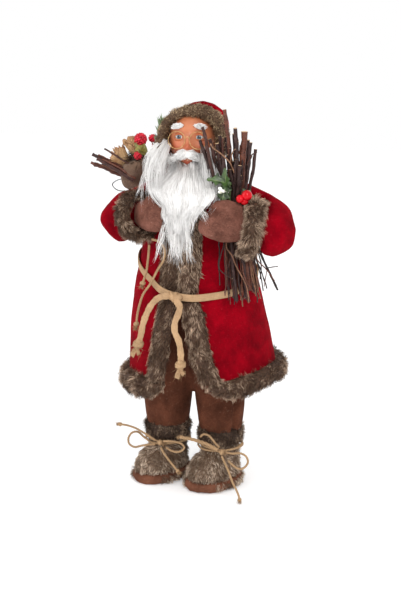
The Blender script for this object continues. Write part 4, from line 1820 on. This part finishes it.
spine = smooth_route([(-68, 26, 382), (-53, 14, 411), (-47, 12, 434)], 0.0015)
spine_side, spine_up = carried(spine)
rng = np.random.default_rng(185)
needles = [tube(spine, 6, 0.001 * np.linspace(1.3, 0.5, len(spine)))]
for k in range(3, len(spine) - 1):
    for j in range(3):
        way = spine[min(k + 3, len(spine) - 1)] - spine[k - 3]
        turned = k * 2.4 + j * 2.1
        out_way = math.cos(turned) * spine_side[k] + math.sin(turned) * spine_up[k]
        grown = unit(unit(way) * 1.6 + out_way + 0.15 * rng.normal(size=3))
        tip = spine[k] + grown * rng.uniform(0.009, 0.0125)
        blade = np.array([spine[k], (spine[k] + tip) / 2, tip])
        needles.append(tube(blade, 4, [0.0009, 0.0009, 0.0001]))
pine = new_piece("pine_sprig_needles", *gathered(*needles))
dressed(pine, pine_green, "leaf", "pine_sprig")

# Florist's wire: an end left standing out of the sack in a loop
WIRE_ROUTE = [
    (-86, 24, 363), (-97, 24, 362), (-110, 24, 360), (-117.5, 24, 354), (-112, 24, 348),
    (-98, 24, 347), (-84, 26, 350),
]
grey_wire = speckled("grey wire", 0.4, {"Metallic": 0.85}, 240.0, 3.0, (0.35, (92, 92, 92)),
                     (0.7, (150, 152, 154)))
wire_loop = new_piece("sack_wire_loop", *tube(smooth_route(WIRE_ROUTE, 0.001), 8, 0.0007))
dressed(wire_loop, grey_wire, "grey_wire", "sack_wire")


# The bundle of twigs held in the crook of the left arm: fourteen cut sticks, with finer brushwood
# between them that fans out below the mitten.
BUNDLE = np.array([[252, 74, -55, 18, 10], [335, 60, -46, 12, 9], [430, 55, -50, 30, 12]])
TWIGS = (
    (-0.85, -0.5, 438, 262, 1.9), (-0.09, 0.2, 457, 255, 2.1), (0.33, -0.35, 438, 250, 2.4),
    (0.61, 0.1, 434, 258, 3.4), (0.95, -0.25, 423, 256, 1.8), (1.1, 0.3, 415, 262, 1.9),
    (-0.78, 0.25, 424, 270, 1.9), (-0.45, -0.1, 420, 248, 2.2), (-0.42, 0.65, 428, 264, 2.0),
    (-0.2, -0.65, 408, 246, 2.1), (0.12, 0.8, 430, 268, 2.0), (0.28, 0.3, 414, 252, 2.2),
    (0.62, -0.75, 398, 247, 2.0), (0.7, 0.75, 424, 260, 2.0),
)
FORKED = (1, 2, 4, 6, 8, 11)


def in_bundle(across, deep, z):
    """A place in the bundle at a height, in millimetres."""
    x, y, wide, thick = (np.interp(z, BUNDLE[:, 0], BUNDLE[:, column]) for column in range(1, 5))
    if z > 430:
        lean = (z - 430) / 95
        x, y, wide, thick = x - 5 * lean, y - 4 * lean, wide + 18 * lean, thick + 3 * lean
    return (x + across * wide, y + deep * thick, z)


rng = np.random.default_rng(200)
sticks = []
for number, (across, deep, top, bottom, radius) in enumerate(TWIGS):
    heights = [top, top - 40, 362, 335, 305, 280, bottom]
    route = [in_bundle(across, deep, z) for z in heights]
    tone = 0.62 if radius > 3 else 0.3 + 0.3 * rng.random()
    sticks.append(stick(route, radius, 210 + number, tone, 0.9, 1.0, 9 if radius > 2.2 else 7))
    if number in FORKED:
        joint = np.array(in_bundle(across, deep, top - 22))
        way = np.array([4.0 * (-1) ** number, -1.5, 7.5])
        sticks.append(stick([joint, joint + way], radius * 0.5, 240 + number, tone, 0.7, 0.4, 6, 0.002))
for number in range(42):
    across, deep = rng.uniform(-0.95, 0.7), rng.uniform(-0.6, 1.1)
    top = rng.uniform(378, 432)
    lean = rng.normal(0, 0.18)
    route = [in_bundle(across + lean, deep, top), in_bundle(across + 0.5 * lean, deep, (top + 340) / 2),
             in_bundle(across, deep, 340)]
    radius, tone = rng.uniform(0.8, 1.7), rng.uniform(0.15, 0.5)
    sticks.append(stick(route, radius, 260 + number, tone, 1.2, 1.3, 6))
for number in range(60):
    across, deep = rng.uniform(-1.25, 1.25), rng.uniform(-1.0, 1.0)
    bottom = rng.uniform(238, 282)
    drift = rng.normal(0, 0.3)
    route = [in_bundle(across, deep, 338), in_bundle(across, deep, 312),
             in_bundle(across + 0.5 * drift, deep, (312 + bottom) / 2),
             in_bundle(across + drift, deep, bottom)]
    radius, tone = rng.uniform(0.6, 1.2), rng.choice([0.2, 0.35, 0.62, 0.85])
    sticks.append(stick(route, radius, 300 + number, tone, 0.75, 1.4, 5))
SHOOTS = (
    (((85, -48, 318), (96, -50, 297), (114.6, -50, 260)), 1.35, 0.15),
    (((100.5, -50, 284), (115.3, -52, 288)), 0.6, 0.3),
    (((88, -50, 305), (91, -52, 294), (101, -52, 283.5), (111.5, -52, 270.7)), 0.7, 0.7),
    (((86, -48, 306), (90.4, -48, 287.5), (95.7, -48, 267.6), (97.2, -48, 257)), 0.85, 0.25),
    (((88, -46, 308), (94, -46, 286), (93, -46, 270)), 0.8, 0.2),
    (((102.4, -53, 281.6), (100, -53, 263.6)), 0.6, 0.5),
    (((57, -54, 322), (54.3, -60, 309), (50.9, -66, 284), (60, -69, 278), (68, -70, 273.9)), 0.7, 0.45),
    (((66, -56, 312), (64.4, -64, 296), (60.8, -66, 283.4)), 0.6, 0.5),
    (((58, -55, 318), (58.5, -62, 307), (65.8, -64, 298), (72, -66, 284), (83.5, -66, 265),
      (86, -66, 246.6)), 0.75, 0.85),
    (((76, -60, 290), (81.6, -64, 272), (96.6, -62, 251.6)), 0.7, 0.75),
    (((38, -58, 420), (41, -60, 416.5), (60, -56, 400.8), (68, -52, 374)), 0.9, 0.9),
    (((60, -56, 400.8), (63, -58, 412), (67, -60, 416)), 0.6, 0.8),
    (((78, -52, 398), (84, -54, 410), (90, -54, 413)), 0.6, 0.4),
)
for number, (route, radius, tone) in enumerate(SHOOTS):
    sticks.append(stick(route, radius, 350 + number, tone, 0.85, 0.5, 6, 0.003))
dressed(stranded("twig_bundle_sticks", *sticks), bark, "bark", "twig_bundle")


# The holly tucked into the hand: four spiny leaves on a stalk, three white pips and three glossy
# red berries.
blades = [
    leaf((63, -60, 377), (38, -71, 383), 8.5, (0.1, -0.75, 0.6), 3, 0.45, 2.0),
    leaf((60, -60, 366), (57, -64, 396), 8.5, (-0.3, -0.95, 0.1), 3, 0.35, 2.5),
    leaf((75, -58, 373), (89, -56, 356), 6.0, (0.3, -0.9, 0.3), 3, 0.4, 2.0),
    leaf((57, -61, 380), (55, -71, 355), 8.0, (0.3, -0.9, -0.2), 3, 0.4, 2.0),
    tube(smooth_route([(61, -59.5, 350), (61, -60, 364), (61, -61, 378)], 0.002), 7, 0.0014),
]
holly = new_piece("holly_leaves", *gathered(*blades))
tidy_mesh(holly, 0.000001)
dressed(holly, holly_green, "leaf", "holly_sprig")


def bead(centre, size, long=1.0, way=(0, 0, 1), sides=20, rings=12):
    """A round or pear-shaped bead as one skin, in millimetres."""
    way = unit(np.array(way, dtype=float))
    steps = np.linspace(-1, 1, 2 * rings + 1)
    line = in_figure(np.array(centre) + way * (steps * size * long)[:, None])
    side = np.tile(unit(np.cross(way, [0.2, 0.9, 0.3])), (len(line), 1))
    radii = np.maximum(size * np.sqrt(np.maximum(1 - steps**2, 0)), 0.02 * size) / 1000
    up = np.tile(np.cross(way, side[0]), (len(line), 1))
    return sweep(line, side, up, round_section(len(line), sides, radii))


pip_white = speckled("white pip", 0.3, {"Coat Weight": 0.3, "Coat Roughness": 0.15}, 260.0, 2.0,
                     (0.3, (206, 208, 186)), (0.6, (246, 247, 242)))
gloss = {"Coat Weight": 0.3, "Coat Roughness": 0.05, "Specular Tint": (1, 0.1, 0.1, 1)}
berry_red = speckled("berry red", 0.2, gloss, 120.0, 2.0, (0.35, (168, 2, 14)), (0.7, (206, 6, 26)))


def thread(start, end, radius):
    """A fine straight stalk, in millimetres."""
    line = smooth_route([start, (np.array(start) + end) / 2, end], 0.002)
    return tube(line, 6, radius / 1000)


pips = []
for centre in ((54, -72, 374), (57.5, -72.5, 371.5), (54, -72, 370.2)):
    way = unit(np.array(centre) - np.array([61, -60, 368.0]))
    pips.append(bead(centre, 2.0, 1.35, way))
    pips.append(thread((61, -60, 368), np.array(centre) - way * 2, 0.5))
dressed(new_piece("white_pips_beads", *gathered(*pips)), pip_white, "white_pip", "white_pips")
berries = []
for centre, size in (((84, -70, 368), 5.8), ((77, -72, 364), 4.6), ((81, -69, 361.5), 4.4)):
    berries.append(bead(centre, size, 1.0, (0.3, -0.5, 0.8), 36, 14))
    berries.append(thread((76, -62, 356), centre, 0.6))
dressed(new_piece("holly_berries_beads", *gathered(*berries)), berry_red, "red_gloss", "holly_berries")


# Studio: a plain pale floor, a pale room and soft lights.
bpy.ops.mesh.primitive_plane_add(size=6, location=(0, 0, -0.0005))
floor = bpy.context.object
floor_finish, tree, shader = finish_of("pale floor", 0.8, {"Emission Strength": 0.16})
shader.inputs["Base Color"].default_value = (0.93, 0.93, 0.93, 1)
shader.inputs["Emission Color"].default_value = (1, 1, 1, 1)
floor.data.materials.append(floor_finish)
for place, power, size in (((0.9, -1.5, 1.5), 22, 0.9), ((-1.3, -1.0, 0.9), 8, 1.2)):
    bpy.ops.object.light_add(type="AREA", location=place)
    lamp = bpy.context.object
    lamp.data.energy = power
    lamp.data.size = size
    lamp.rotation_euler = (Vector(place) - LOOK_AT).to_track_quat("Z", "Y").to_euler()
world = bpy.data.worlds.new("studio")
bpy.context.scene.world = world
world.use_nodes = True
world.node_tree.nodes["Background"].inputs[0].default_value = (1, 1, 1, 1)
world.node_tree.nodes["Background"].inputs[1].default_value = 1.0
bpy.context.scene.view_settings.view_transform = "Standard"
